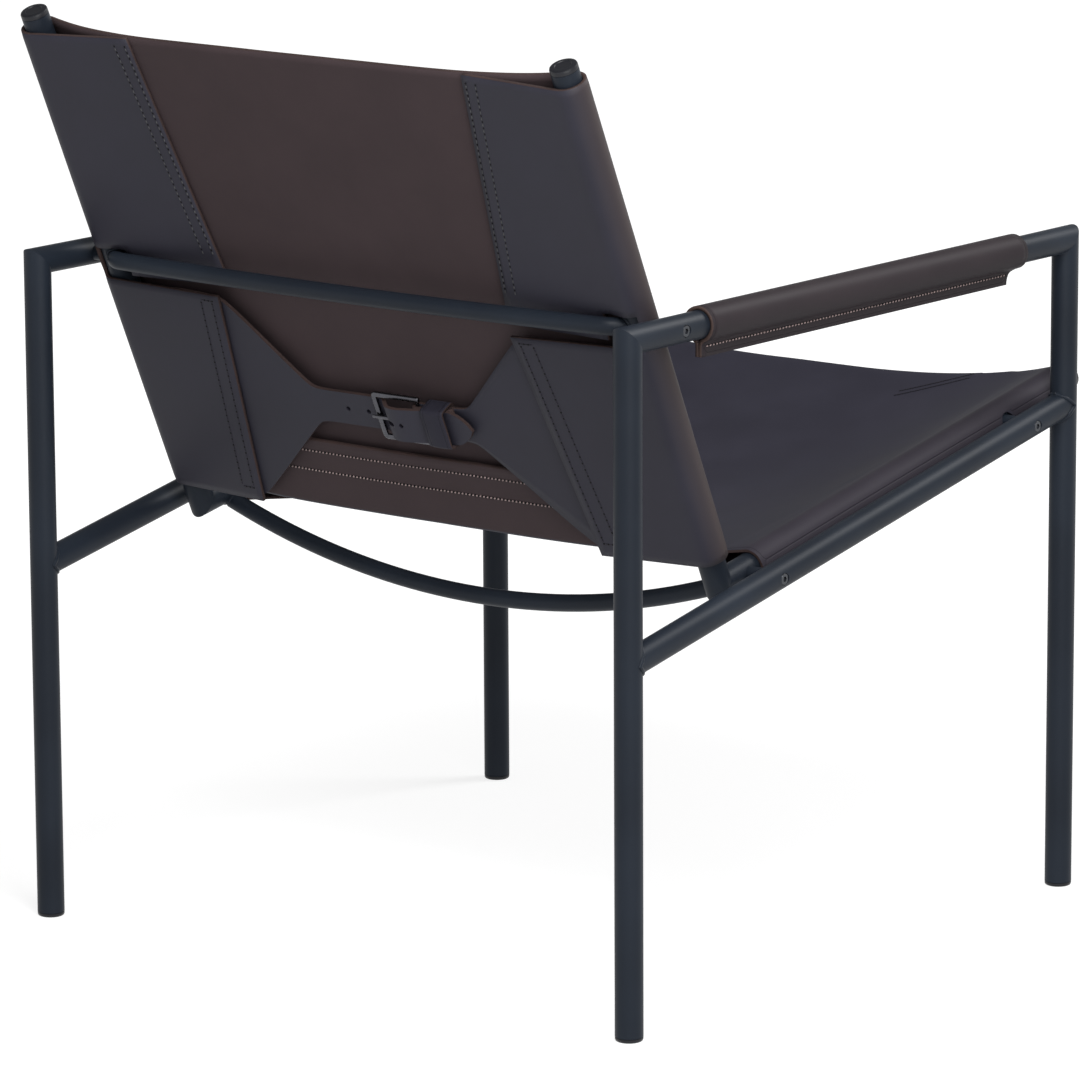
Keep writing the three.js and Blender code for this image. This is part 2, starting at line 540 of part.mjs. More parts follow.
// Belt in its own coordinates: X runs toward the strap's tip, Y away from the sling. The tabs lie under the
// flaps, whose level is given at each station; the billet passes under the buckle's end bar and over its pin.
const buildBelt = (group, name, tabLevel) => {
  const low = STRAP_HIDE / 2;
  const pinY = STRAP_HIDE + GAP + PIN_RADIUS;
  const onPin = pinY + STRAP_HIDE + GAP;
  const top = onPin + PIN_RADIUS + GAP + low + GAP;
  const tabLine = (station) => {
    const level = tabLevel(station);
    return [P(TAB_ROOT, level(TAB_ROOT)), P(TAB_UP_ROOT, level(TAB_UP_ROOT)), P(TAB_NECK, low)];
  };
  const tabOutline = (sign, end) =>
    [
      P(TAB_ROOT - 1, -TAB_UP),
      P(TAB_UP_ROOT, -TAB_UP),
      P(TAB_NECK, -STRAP_HALF),
      ...end,
      P(TAB_NECK, STRAP_HALF),
      P(TAB_DOWN_ROOT, TAB_DOWN),
      P(TAB_ROOT - 1, TAB_DOWN),
    ].map((point) => P(sign * point.x, point.y));

  // Prong: a ring on the pin and a shank whose tip rests on the end bar
  const prongTop = pinY + BUCKLE_THICK / 2 + GAP + PRONG_THICK / 2;
  const shank = (grow) => [
    P(PIN_AT, pinY + 0.2),
    P(BUCKLE_END + BUCKLE_BAR + 1, prongTop),
    P(PRONG_TIP - grow, prongTop - 0.2),
  ];
  const lifted = (point, angle) => point.clone().rotateAround(P(PIN_AT, pinY), -angle);
  const ring = (radius, half) => rod(V(PIN_AT, pinY, -half), V(PIN_AT, pinY, half), radius, 18);
  const prong = run(ribbon(shank(0), PRONG_THICK), -PRONG_HALF, PRONG_HALF)
    .add(ring(PIN_RADIUS + GAP + 1.5, PRONG_HALF))
    .subtract(ring(PIN_RADIUS + GAP, PRONG_HALF + 1));
  add(group, `${name}_buckle_prong`, nickel, prong);

  // Buckle frame: flat bars on three sides and the round pin
  const inner = BUCKLE_HALF - BUCKLE_BAR;
  const frameOutline = [
    P(BUCKLE_HEEL, -BUCKLE_HALF),
    P(BUCKLE_END + 4, -BUCKLE_HALF),
    P(BUCKLE_END + 1.2, -BUCKLE_HALF + 1.2),
    P(BUCKLE_END, -BUCKLE_HALF + 4),
    P(BUCKLE_END, BUCKLE_HALF - 4),
    P(BUCKLE_END + 1.2, BUCKLE_HALF - 1.2),
    P(BUCKLE_END + 4, BUCKLE_HALF),
    P(BUCKLE_HEEL, BUCKLE_HALF),
    P(BUCKLE_HEEL, inner),
    P(BUCKLE_END + BUCKLE_BAR, inner),
    P(BUCKLE_END + BUCKLE_BAR, -inner),
    P(BUCKLE_HEEL, -inner),
  ];
  const buckle = plate(frameOutline, pinY - BUCKLE_THICK / 2, pinY + BUCKLE_THICK / 2);
  add(group, `${name}_buckle_frame`, nickel, buckle.add(ring(PIN_RADIUS, inner + 1)));

  // Billet: tab and punched strap, with a long hole where the prong comes through
  const rise = [P(-14, low), P(-9, low + 0.1), P(-5, 3.7), P(0, 8.4), P(4, 11.8), P(9, 13.4), P(16, 13.7)];
  const fall = [P(24, 12.7), P(PIN_AT, top + 0.3), P(37, 10.4), P(42, 9), P(47, onPin + 0.3), P(54, onPin)];
  const over = new THREE.SplineCurve([P(-30, low), ...rise, ...fall, P(66, onPin), P(STRAP_TIP, onPin)]);
  const billetLine = (station) => [
    ...tabLine(station).map((point) => P(-point.x, point.y)),
    ...over.getPoints(46).filter((point) => point.x > -29),
  ];
  const tip = [
    P(-(STRAP_TIP - STRAP_TIP_LENGTH), -STRAP_HALF),
    P(-(STRAP_TIP - 5), -STRAP_HALF / 2),
    P(-(STRAP_TIP - 0.6), -2.5),
    P(-(STRAP_TIP - 0.6), 2.5),
    P(-(STRAP_TIP - 5), STRAP_HALF / 2),
    P(-(STRAP_TIP - STRAP_TIP_LENGTH), STRAP_HALF),
  ];
  const cutBillet = plate(tabOutline(-1, tip), -TAB_DOWN, TAB_DOWN);
  let billet = hide(tabStations, billetLine, STRAP_HIDE).intersect(cutBillet);
  for (const angle of [0, PRONG_LIFT / 2, PRONG_LIFT]) {
    const path = shank(1).map((point) => lifted(point, angle));
    const room = run(ribbon(path, PRONG_THICK + 2 * GAP), -PRONG_HALF - 0.5, PRONG_HALF + 0.5);
    billet = billet.subtract(room);
  }
  for (const hole of [0, 1, 3]) {
    const x = FIRST_HOLE + HOLE_PITCH * hole;
    billet = billet.subtract(rod(V(x, -20, 0), V(x, 40, 0), HOLE_RADIUS, 12));
  }
  add(group, `${name}_billet_tab`, leather, billet);

  // Buckle tab: folded round the pin and sewn back on itself, slotted for the prong
  const fold = [];
  for (let i = 0; i <= 8; i += 1) {
    const turn = Math.PI * (i / 8);
    const radius = PIN_RADIUS + GAP + low;
    fold.push(P(PIN_AT - radius * Math.sin(turn), pinY - radius * Math.cos(turn)));
  }
  const backLine = new THREE.SplineCurve([
    P(PIN_AT, pinY + PIN_RADIUS + GAP + low),
    P(PIN_AT + 3, pinY + PIN_RADIUS + low - 0.2),
    P(PIN_AT + 9, STRAP_HIDE + GAP + low + 0.6),
    P(PIN_AT + 14, STRAP_HIDE + GAP + low),
    P(FOLD_BACK_END, STRAP_HIDE + GAP + low),
  ]);
  const foldLine = (station) => [...tabLine(station), ...fold, ...backLine.getPoints(12).slice(1)];
  const end = [P(PIN_AT - 8, -STRAP_HALF), P(PIN_AT - 8, STRAP_HALF)];
  const slot = block(V(PIN_AT - 8, -5, -PRONG_HALF - 0.7), V(PIN_AT + 4.4, 20, PRONG_HALF + 0.7));
  const cutOut = plate(tabOutline(1, end), -TAB_DOWN, TAB_DOWN);
  const buckleTab = hide(tabStations, foldLine, STRAP_HIDE).intersect(cutOut).subtract(slot);
  add(group, `${name}_buckle_tab`, leather, buckleTab);

  // Keeper: a closed loop round all layers of the strap
  const keeperEnd = KEEPER_AT + KEEPER_WIDTH;
  const roomLow = V(KEEPER_AT - 1, -GAP, -KEEPER_HALF);
  const roomHigh = V(keeperEnd + 1, KEEPER_ROOM, KEEPER_HALF);
  const wall = V(1, -KEEPER_HIDE, -KEEPER_HIDE);
  const keeper = block(roomLow.clone().add(wall), roomHigh.clone().sub(wall));
  add(group, `${name}_keeper`, leather, keeper.subtract(block(roomLow, roomHigh)));
};

const underFlap = HIDE / 2 + GAP + STRAP_HIDE / 2;
const backBelt = new THREE.Group();
backBelt.position.set(0, BACK_BELT_BEHIND, BACK_BELT_UP);
backBelt.rotation.y = Math.PI;
backFrame.add(backBelt);
buildBelt(backBelt, "back", (station) => {
  const up = BACK_BELT_UP - station;
  const half = slingHalf(backPanel(up), lowerFlap(up));
  return (x) => -levelOf(half, x) - underFlap - BACK_BELT_BEHIND;
});
const seatBelt = new THREE.Group();
const seatBeltY = -seatSag(SEAT_BELT_ALONG) - HIDE / 2 - KEEPER_HIDE - 2 * GAP;
seatBelt.position.set(0, seatBeltY, SEAT_BELT_ALONG);
seatBelt.rotation.z = Math.PI;
seatFrame.add(seatBelt);
buildBelt(seatBelt, "seat", (station) => {
  const half = seatHalf(SEAT_BELT_ALONG + station);
  return (x) => seatBeltY - levelOf(half, x) - underFlap - TAB_SLACK;
});

// The origin is the middle of the footprint, on the floor
const sling = new THREE.Group();
sling.name = "sling_lounge_chair";
sling.add(chair);
const bounds = new THREE.Box3().setFromObject(sling, true);
chair.position.y = -(bounds.min.y + bounds.max.y) / 2;

export default sling;
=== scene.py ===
"""Leather sling lounge chair: a welded tube frame, a leather back and seat, belts that draw them tight."""

from math import acos, atan, atan2, cos, hypot, pi, radians, sin, sqrt, tan

import bmesh
import bpy
from mathutils import Matrix, Quaternion, Vector, noise


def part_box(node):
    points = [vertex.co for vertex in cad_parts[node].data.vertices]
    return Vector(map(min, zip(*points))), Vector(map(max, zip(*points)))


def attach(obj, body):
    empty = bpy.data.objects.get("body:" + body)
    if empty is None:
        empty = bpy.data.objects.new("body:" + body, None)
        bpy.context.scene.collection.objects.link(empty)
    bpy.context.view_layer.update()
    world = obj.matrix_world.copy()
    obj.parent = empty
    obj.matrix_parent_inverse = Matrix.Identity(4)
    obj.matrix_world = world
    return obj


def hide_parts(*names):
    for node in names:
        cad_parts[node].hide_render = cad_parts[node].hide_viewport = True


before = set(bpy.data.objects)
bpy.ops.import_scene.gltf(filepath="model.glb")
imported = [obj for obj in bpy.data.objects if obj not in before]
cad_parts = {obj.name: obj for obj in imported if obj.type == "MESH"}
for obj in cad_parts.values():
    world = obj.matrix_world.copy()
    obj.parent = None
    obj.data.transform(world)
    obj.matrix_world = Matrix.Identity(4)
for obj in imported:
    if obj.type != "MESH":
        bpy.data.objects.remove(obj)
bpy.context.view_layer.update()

# Side frames. On each side two legs, an arm tube mitred to both and a rail coped between them are
# welded from 22 mm round steel tube with 2 mm walls. The mitres are ground, then the frame is powder
# coated satin black.
TUBE_RADIUS = 11.0
TUBE_BORE = 9.0
TUBE_SIDES = 48
BEAD = 1.7
FOOT_Z = 3.3
RAIL_REAR_Z = 291.9
RAIL_FRONT_Z = 403.7
SIDES = (("left", 1), ("right", -1))


def middle_of(node):
    """Middle of a CAD node's box, in millimetres."""
    low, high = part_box(node)
    return (Vector(low) + Vector(high)) * 500


LEG_X = middle_of("left_rear_leg").x
REAR_Y = middle_of("left_rear_leg").y
FRONT_Y = middle_of("left_front_leg").y
ARM_Z = middle_of("left_arm_tube").z


def from_255(red, green, blue):
    """A colour on the scale of 255, as shaders take it."""
    steps = [part / 255 for part in (red, green, blue)]
    return [part / 12.92 if part < 0.04 else ((part + 0.055) / 1.055) ** 2.4 for part in steps] + [1.0]


class Mix:
    """One value, colour or vector in a finish. Arithmetic on it adds Math nodes to that finish."""

    def __init__(self, tree, socket=None):
        self.tree = tree
        self.socket = socket

    def node(self, kind, settings, sockets, output=0):
        """Adds a node: its settings come first, then the values or links of its sockets."""
        made = self.tree.nodes.new(kind)
        for name, value in settings.items():
            setattr(made, name, value)
        for name, value in sockets.items():
            if isinstance(value, Mix):
                self.tree.links.new(value.socket, made.inputs[name])
            else:
                made.inputs[name].default_value = value
        return Mix(self.tree, made.outputs[output])

    def sum(self, operation, first, second):
        return self.node("ShaderNodeMath", {"operation": operation}, {0: first, 1: second})

    def __add__(self, other):
        return self.sum("ADD", self, other)

    def __radd__(self, other):
        return self.sum("ADD", other, self)

    def __sub__(self, other):
        return self.sum("SUBTRACT", self, other)

    def __rsub__(self, other):
        return self.sum("SUBTRACT", other, self)

    def __mul__(self, other):
        return self.sum("MULTIPLY", self, other)

    def __rmul__(self, other):
        return self.sum("MULTIPLY", other, self)

    def ramp(self, start, end):
        """0 below start, 1 above end, smooth between."""
        settings = {"interpolation_type": "SMOOTHSTEP"}
        return self.node("ShaderNodeMapRange", settings, {0: self, 1: start, 2: end, 3: 0.0, 4: 1.0})

    def band(self, middle, half):
        """1 on a line at the middle, 0 where it is further away than half."""
        away = self.node("ShaderNodeMath", {"operation": "ABSOLUTE"}, {0: self - middle})
        return 1 - away.ramp(0.0, half)

    def noise(self, place, scale, detail=2.0, rough=0.5):
        sockets = {"Vector": place, "Scale": scale, "Detail": detail, "Roughness": rough}
        return self.node("ShaderNodeTexNoise", {}, sockets)

    def blend(self, factor, first, second):
        """The first colour where the factor is 0, the second where it is 1."""
        settings = {"data_type": "RGBA", "blend_type": "MIX"}
        return self.node("ShaderNodeMix", settings, {0: factor, 6: first, 7: second}, 2)

    def bump(self, height, distance, strength):
        sockets = {"Height": height, "Distance": distance, "Strength": strength}
        return self.node("ShaderNodeBump", {}, sockets)

    def feed(self, shader, **sockets):
        """Links values to a shader's sockets."""
        for name, value in sockets.items():
            self.tree.links.new(value.socket, shader.inputs[name.replace("_", " ")])


def new_finish(name, **constants):
    """A finish with its constant values set; returns the material, its mixer and its shader."""
    material = bpy.data.materials.new(name)
    material.use_nodes = True
    shader = material.node_tree.nodes["Principled BSDF"]
    for key, value in constants.items():
        shader.inputs[key.replace("_", " ")].default_value = value
    return material, Mix(material.node_tree), shader


powder_coat, mix, shader = new_finish("powder coat", Specular_IOR_Level=0.14)
solid_place = mix.node("ShaderNodeTexCoord", {}, {}, "Object")
speckle = mix.noise(solid_place, 1400.0, 3.0, 0.6)
cloud = mix.noise(solid_place, 9.0)
coat_colour = mix.blend(cloud.ramp(0.3, 0.7), from_255(27, 32, 40), from_255(33, 39, 48))
mix.feed(shader, Base_Color=coat_colour, Roughness=0.38 + 0.1 * speckle + 0.06 * cloud)
mix.feed(shader, Normal=mix.bump(speckle, 0.00005, 0.5))


def laid_grid(bm, columns, rows, place):
    """A grid of quads whose crossings lie at place(column, row); returns them by column and row."""
    made = bmesh.ops.create_grid(bm, x_segments=columns - 1, y_segments=rows - 1, size=0.5)
    crossings = {}
    for vert in made["verts"]:
        column = round((vert.co.x + 0.5) * (columns - 1))
        row = round((vert.co.y + 0.5) * (rows - 1))
        crossings[column, row] = vert
    for (column, row), vert in crossings.items():
        vert.co = place(column, row)
    return crossings


def ring_at(bm, centre, direction, radius, sides=TUBE_SIDES):
    """A ring of a tube's section."""
    turn = Vector((0, 0, 1)).rotation_difference(direction)
    place = Matrix.LocRotScale(centre, turn, None)
    return bmesh.ops.create_circle(bm, cap_ends=False, segments=sides, radius=radius, matrix=place)["verts"]


def edges_among(verts):
    """The edges that have both ends among some vertices."""
    chosen = set(verts)
    edges = {edge for vert in verts for edge in vert.link_edges}
    return [edge for edge in edges if set(edge.verts) <= chosen]


def run_on(bm, ring, step):
    """Runs a ring on along a step; returns the new ring."""
    grown = bmesh.ops.extrude_edge_only(bm, edges=edges_among(ring))
    verts = [item for item in grown["geom"] if isinstance(item, bmesh.types.BMVert)]
    bmesh.ops.translate(bm, verts=verts, vec=step)
    return verts


def tube_length(bm, start, end, rings=()):
    """A length of tube, open at both ends; returns its outer and inner rings at the start and at the end."""
    direction = (end - start).normalized()
    ends = []
    for radius in (TUBE_RADIUS, TUBE_BORE):
        first = ring_at(bm, start, direction, radius)
        last = first
        run = 0.0
        for stop in [*rings, (end - start).length]:
            last = run_on(bm, last, direction * (stop - run))
            run = stop
        ends.append((first, last))
    return [ends[0][0] + ends[1][0], ends[0][1] + ends[1][1]]


def mitre(verts, direction, point, normal):
    """Slides a tube's end along the tube to a plane."""
    for vert in verts:
        vert.co += direction * ((point - vert.co).dot(normal) / direction.dot(normal))


def meet(place, direction, point, axis, radius):
    """Where a line first meets a round tube."""
    across = direction - axis * direction.dot(axis)
    off = place - point
    off -= axis * off.dot(axis)
    a = across.dot(across)
    b = off.dot(across)
    under = b * b - a * (off.dot(off) - radius * radius)
    return place + direction * ((-b - sqrt(max(under, 0.0))) / a)


def cope(verts, direction, point, axis, radius=TUBE_RADIUS):
    """Slides a tube's end along the tube until it fits round another one."""
    for vert in verts:
        vert.co = meet(vert.co - direction * 60, direction, point, axis, radius)


def close_ends(bm):
    """Joins the outer and inner wall at a tube's ends."""
    ends = [edge for edge in bm.edges if edge.is_boundary]
    groups = []
    while ends:
        group = {ends[0]}
        grown = [ends[0]]
        while grown:
            edge = grown.pop()
            links = {link for vert in edge.verts for link in vert.link_edges if link.is_boundary}
            for other in links - group:
                group.add(other)
                grown.append(other)
        groups.append(group)
        ends = [edge for edge in ends if edge not in group]
    mids = []
    for group in groups:
        ends = [vert.co for edge in group for vert in edge.verts]
        mids.append(sum(ends, Vector()) / len(ends))
    while groups:
        group = groups.pop()
        mid = mids.pop()
        near = min(range(len(mids)), key=lambda k: (mids[k] - mid).length)
        bmesh.ops.bridge_loops(bm, edges=list(group | groups.pop(near)))
        mids.pop(near)


def weld_bead(bm, line, radius):
    """A bead of weld along a closed line, with the ripples of its pools."""
    count = len(line)

    def place(column, row):
        at = line[column % count]
        along = (line[(column + 1) % count] - line[(column - 1) % count]).normalized()
        side = along.orthogonal() if abs(along.x) > 0.99 else along.cross(Vector((1, 0, 0))).normalized()
        other = along.cross(side)
        turn = 2 * pi * row / 8
        size = radius * (1 + 0.1 * sin(column * 2.1) + 0.08 * noise.noise(at * 0.35))
        return at + (side * cos(turn) + other * sin(turn)) * size

    grid = laid_grid(bm, count + 1, 9, place)
    bmesh.ops.remove_doubles(bm, verts=list(grid.values()), dist=1e-4)


def piece_from(bm, name, finishes, body="chair", stands_for=None, sharp=35, turned=True):
    """A finished piece: its mesh goes from millimetres to metres, and it takes its finish and body.
    It stands for the CAD node of its own name, unless others or none are given."""
    if turned:
        bmesh.ops.recalc_face_normals(bm, faces=bm.faces)
    bmesh.ops.scale(bm, vec=(0.001, 0.001, 0.001), verts=bm.verts)
    mesh = bpy.data.meshes.new(name)
    bm.to_mesh(mesh)
    bm.free()
    for finish in finishes:
        mesh.materials.append(finish)
    mesh.shade_smooth()
    mesh.set_sharp_from_angle(angle=radians(sharp))
    piece = bpy.data.objects.new(name, mesh)
    bpy.context.scene.collection.objects.link(piece)
    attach(piece, body)
    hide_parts(*([name.replace("-", "_")] if stands_for is None else stands_for))
    return piece


def coated(bm, name):
    """A powder coated piece of the frame."""
    return piece_from(bm, name, [powder_coat])


def worked(piece):
    """Keeps what a piece's modifiers have made as its own mesh."""
    bpy.context.view_layer.update()
    evaluated = piece.evaluated_get(bpy.context.evaluated_depsgraph_get())
    mesh = bpy.data.meshes.new_from_object(evaluated)
    piece.modifiers.clear()
    piece.data = mesh


def drill(piece, cutter_bm, sharp=35):
    """Cuts a closed shape, drawn in millimetres, out of a piece."""
    bmesh.ops.recalc_face_normals(cutter_bm, faces=cutter_bm.faces)
    bmesh.ops.scale(cutter_bm, vec=(0.001, 0.001, 0.001), verts=cutter_bm.verts)
    mesh = bpy.data.meshes.new("drill")
    cutter_bm.to_mesh(mesh)
    cutter_bm.free()
    cutter = bpy.data.objects.new("drill", mesh)
    bpy.context.scene.collection.objects.link(cutter)
    cut = piece.modifiers.new("drilled", "BOOLEAN")
    cut.operation = "DIFFERENCE"
    cut.solver = "EXACT"
    cut.object = cutter
    worked(piece)
    bpy.data.objects.remove(cutter)
    bpy.data.meshes.remove(mesh)
    piece.data.set_sharp_from_angle(angle=radians(sharp))


def weld_on(piece, lines, radius, sharp=35):
    """Lays beads of weld on a piece that is drilled already, because a cut needs one plain closed form."""
    bm = bmesh.new()
    for line in lines:
        weld_bead(bm, line, radius)
    bmesh.ops.recalc_face_normals(bm, faces=bm.faces)
    bmesh.ops.scale(bm, vec=(0.001, 0.001, 0.001), verts=bm.verts)
    bm.from_mesh(piece.data)
    bm.to_mesh(piece.data)
    bm.free()
    piece.data.shade_smooth()
    piece.data.set_sharp_from_angle(angle=radians(sharp))


UP = Vector((0, 0, 1))
SLOPE = atan2(RAIL_FRONT_Z - RAIL_REAR_Z, REAR_Y - FRONT_Y)
CORNER_IN = 155.6
CORNER_Y = REAR_Y - CORNER_IN
CORNER_Z = RAIL_REAR_Z + CORNER_IN * tan(SLOPE)
LEAN = radians(24.1)
UP_POST = Vector((0, sin(LEAN), cos(LEAN)))
OFF_POST = Vector((0, cos(LEAN), -sin(LEAN)))
ALONG_RAIL = Vector((0, -cos(SLOPE), sin(SLOPE)))
OFF_RAIL = Vector((0, sin(SLOPE), cos(SLOPE)))
ARM_UP = (ARM_Z - CORNER_Z) / cos(LEAN)
INNER_X = LEG_X - 33.1
SCREW_ROOM = 8
HEAD_RADIUS = 4.8


def on_back(x, off, up):
    """A place given across, behind the posts' axis and up the posts."""
    return Vector((x, CORNER_Y, CORNER_Z)) + OFF_POST * off + UP_POST * up


def on_seat(x, off, along):
    """A place given across, above the seat rails' axis and forward along the rails."""
    return Vector((x, CORNER_Y, CORNER_Z)) + OFF_RAIL * off + ALONG_RAIL * along


SCREWS = {
    "arm": on_back(0, 0, ARM_UP),
    "rear_rail": on_seat(0, 0, 28.0),
    "front_rail": on_seat(0, 0, 377.0),
}
HEAD_OUT = LEG_X + TUBE_RADIUS - 0.7


def rod(bm, start, end, radius, end_radius=None, sides=32):
    """A closed round rod, tapered where the end radius differs."""
    turn = UP.rotation_difference(end - start)
    place = Matrix.LocRotScale((start + end) / 2, turn, None)
    depth = (end - start).length
    last = radius if end_radius is None else end_radius
    sizes = {"segments": sides, "radius1": radius, "radius2": last, "depth": depth, "matrix": place}
    return bmesh.ops.create_cone(bm, cap_ends=True, cap_tris=False, **sizes)["verts"]


def countersink(place, side):
    """The hole that takes a screw's head, as a shape to cut."""
    bm = bmesh.new()
    at = Vector((0, place.y, place.z))
    across = Vector((side, 0, 0))
    rod(bm, at + across * (HEAD_OUT - 1.9), at + across * (HEAD_OUT + 4), HEAD_RADIUS)
    return bm


for name, side in SIDES:
    arm_rear = Vector((side * LEG_X, REAR_Y, ARM_Z))
    arm_front = Vector((side * LEG_X, FRONT_Y, ARM_Z))
    rail_rear = Vector((side * LEG_X, REAR_Y, RAIL_REAR_Z))
    rail_front = Vector((side * LEG_X, FRONT_Y, RAIL_FRONT_Z))
    for end, corner, outward in (("rear", arm_rear, 1), ("front", arm_front, -1)):
        bm = bmesh.new()
        foot = Vector((corner.x, corner.y, FOOT_Z))
        high = tube_length(bm, foot, corner)[1]
        mitre(high, UP, corner, Vector((0, outward, -1)))
        close_ends(bm)
        coated(bm, f"{name}-{end}-leg")
    bm = bmesh.new()
    forward = Vector((0, -1, 0))
    screw_at = REAR_Y - SCREWS["arm"].y
    low, high = tube_length(bm, arm_rear, arm_front, rings=(screw_at - SCREW_ROOM, screw_at + SCREW_ROOM))
    mitre(low, forward, arm_rear, Vector((0, 1, -1)))
    mitre(high, forward, arm_front, Vector((0, -1, -1)))
    close_ends(bm)
    arm = coated(bm, f"{name}-arm-tube")
    drill(arm, countersink(SCREWS["arm"], side))
    bm = bmesh.new()
    along = (rail_front - rail_rear).normalized()
    stops = []
    for place in ("rear_rail", "front_rail"):
        screw_at = (SCREWS[place] - rail_rear).dot(along)
        stops += [screw_at - SCREW_ROOM, screw_at + SCREW_ROOM]
    low, high = tube_length(bm, rail_rear, rail_front, rings=stops)
    beads = []
    for verts, way, corner in ((low, -along, rail_rear), (high, along, rail_front)):
        cope(verts, way, corner, UP)
        beads.append([vert.co.copy() for vert in verts[:TUBE_SIDES]])
    close_ends(bm)
    rail = coated(bm, f"{name}-outer-rail")
    drill(rail, countersink(SCREWS["rear_rail"], side))
    drill(rail, countersink(SCREWS["front_rail"], side))
    weld_on(rail, beads, BEAD)

# Foot glides. A black nylon plug, turned with a flange, is pressed into the bottom of each leg.
# The flange keeps the steel off the floor.
def plain_finish(name, fine, dark, light, rough, spread, detail=3.0, **constants):
    """A finish without a pattern: a fine cloudiness in its colour and its roughness."""
    material, mix, shader = new_finish(name, **constants)
    place = mix.node("ShaderNodeTexCoord", {}, {}, "Object")
    cloud = mix.noise(place, fine, detail)
    mix.feed(shader, Base_Color=mix.blend(cloud, dark, light), Roughness=rough + spread * cloud)
    return material


NYLON_DARK = from_255(20, 21, 26)
NYLON_LIGHT = from_255(26, 27, 32)
black_nylon = plain_finish("black nylon", 600.0, NYLON_DARK, NYLON_LIGHT, 0.34, 0.15, Specular_IOR_Level=0.3)


def turned_plug(bm, outline, base, axis):
    """A turned piece: an outline of radius and height is spun round an axis from a base."""
    verts = [bm.verts.new((radius, 0, height)) for radius, height in outline]
    edges = [bm.edges.new(pair) for pair in zip(verts, verts[1:])]
    sizes = {"cent": (0, 0, 0), "axis": UP, "angle": 2 * pi, "steps": 40}
    bmesh.ops.spin(bm, geom=verts + edges, use_merge=True, **sizes)
    bmesh.ops.remove_doubles(bm, verts=bm.verts, dist=1e-4)
    place = Matrix.LocRotScale(base, UP.rotation_difference(axis), None)
    bmesh.ops.transform(bm, matrix=place, verts=bm.verts)


GLIDE = [(0, 0), (9.6, 0), (10.5, 0.6), (10.9, 1.6), (10.9, 2.9), (8.7, 3), (8.7, 18), (8, 19), (0, 19)]
for name, side in SIDES:
    for end, y in (("rear", REAR_Y), ("front", FRONT_Y)):
        bm = bmesh.new()
        turned_plug(bm, GLIDE, Vector((side * LEG_X, y, 0)), UP)
        piece_from(bm, f"{name}-{end}-glide", [black_nylon])

# Inner frame. A post and a seat rail on each side, of the same tube, are mitred and welded at the lower
# rear corner; two cross bars of 14 mm tube join the sides, the upper one bowed to the rear and the lower
# one bowed down.
POST_LENGTH = 460.0
SEAT_RAIL_LENGTH = 482.0
BAR_RADIUS = 7.0
BAR_BEAD = 1.2
corner_cut = UP_POST - ALONG_RAIL


def close_holes(bm):
    """Caps every open ring of a mesh."""
    edges = [edge for edge in bm.edges if edge.is_boundary]
    bmesh.ops.holes_fill(bm, edges=edges, sides=0)


def bend(bm, ring, centre, axis, angle, steps):
    """Runs a ring on round a bend; returns the last ring."""
    geom = list(ring) + edges_among(ring)
    made = bmesh.ops.spin(bm, geom=geom, cent=centre, axis=axis, angle=angle, steps=steps)
    return [item for item in made["geom_last"] if isinstance(item, bmesh.types.BMVert)]


for name, side in SIDES:
    corner = on_seat(side * INNER_X, 0, 0)
    bm = bmesh.new()
    low = tube_length(bm, corner, corner + UP_POST * POST_LENGTH)[0]
    mitre(low, UP_POST, corner, corner_cut)
    close_ends(bm)
    coated(bm, f"{name}-back-post")
    bm = bmesh.new()
    low = tube_length(bm, corner, corner + ALONG_RAIL * SEAT_RAIL_LENGTH)[0]
    mitre(low, ALONG_RAIL, corner, corner_cut)
    close_ends(bm)
    coated(bm, f"{name}-seat-rail")

bm = bmesh.new()
BAR_SIDES = 32
BAR_BOW = 10.5
BAR_ELBOW = 16
BAR_END = 9
bar_y = CORNER_Y + ARM_UP * sin(LEAN) + 30.5
bar_half = INNER_X - 6 - BAR_ELBOW
bow_radius = (bar_half**2 + BAR_BOW**2) / (2 * BAR_BOW)
bow_angle = atan2(bar_half, bow_radius - BAR_BOW)
bow_end = Vector((-bar_half, bar_y - BAR_BOW, ARM_Z))
elbow = pi / 2 - bow_angle
elbow_centre = bow_end - Vector((-sin(bow_angle), cos(bow_angle), 0)) * BAR_ELBOW
start = elbow_centre + Vector((-BAR_ELBOW, -BAR_END, 0))
ring = ring_at(bm, start, Vector((0, 1, 0)), BAR_RADIUS, BAR_SIDES)
first_ring = list(ring)
ring = run_on(bm, ring, Vector((0, BAR_END, 0)))
ring = bend(bm, ring, elbow_centre, UP, -elbow, 10)
ring = bend(bm, ring, Vector((0, bar_y - bow_radius, ARM_Z)), UP, -2 * bow_angle, 28)
ring = bend(bm, ring, Vector((-elbow_centre.x, elbow_centre.y, ARM_Z)), UP, -elbow, 10)
ring = run_on(bm, ring, Vector((0, -BAR_END, 0)))
beads = []
for verts, side in ((first_ring, -1), (ring, 1)):
    cope(verts, Vector((0, -1, 0)), on_back(side * INNER_X, 0, 0), UP_POST)
    beads.append([vert.co.copy() for vert in verts])
close_holes(bm)
for bead in beads:
    middle = sum(bead, Vector()) / len(bead)
    bead.sort(key=lambda place: atan2(place.z - middle.z, place.x - middle.x))
    weld_bead(bm, bead, BAR_BEAD)
coated(bm, "upper-cross-bar")
bow_y = bar_y - bow_radius
bar_line = []
for k in range(9):
    turn = k * elbow / 8
    bend_at = Vector((-elbow_centre.x, elbow_centre.y, ARM_Z))
    bar_line.append(bend_at + Vector((cos(turn), sin(turn), 0)) * BAR_ELBOW)
for k in range(1, 40):
    angle = bow_angle * (1 - k / 40)
    bar_line.append(Vector((bow_radius * sin(angle), bow_y + bow_radius * cos(angle), ARM_Z)))

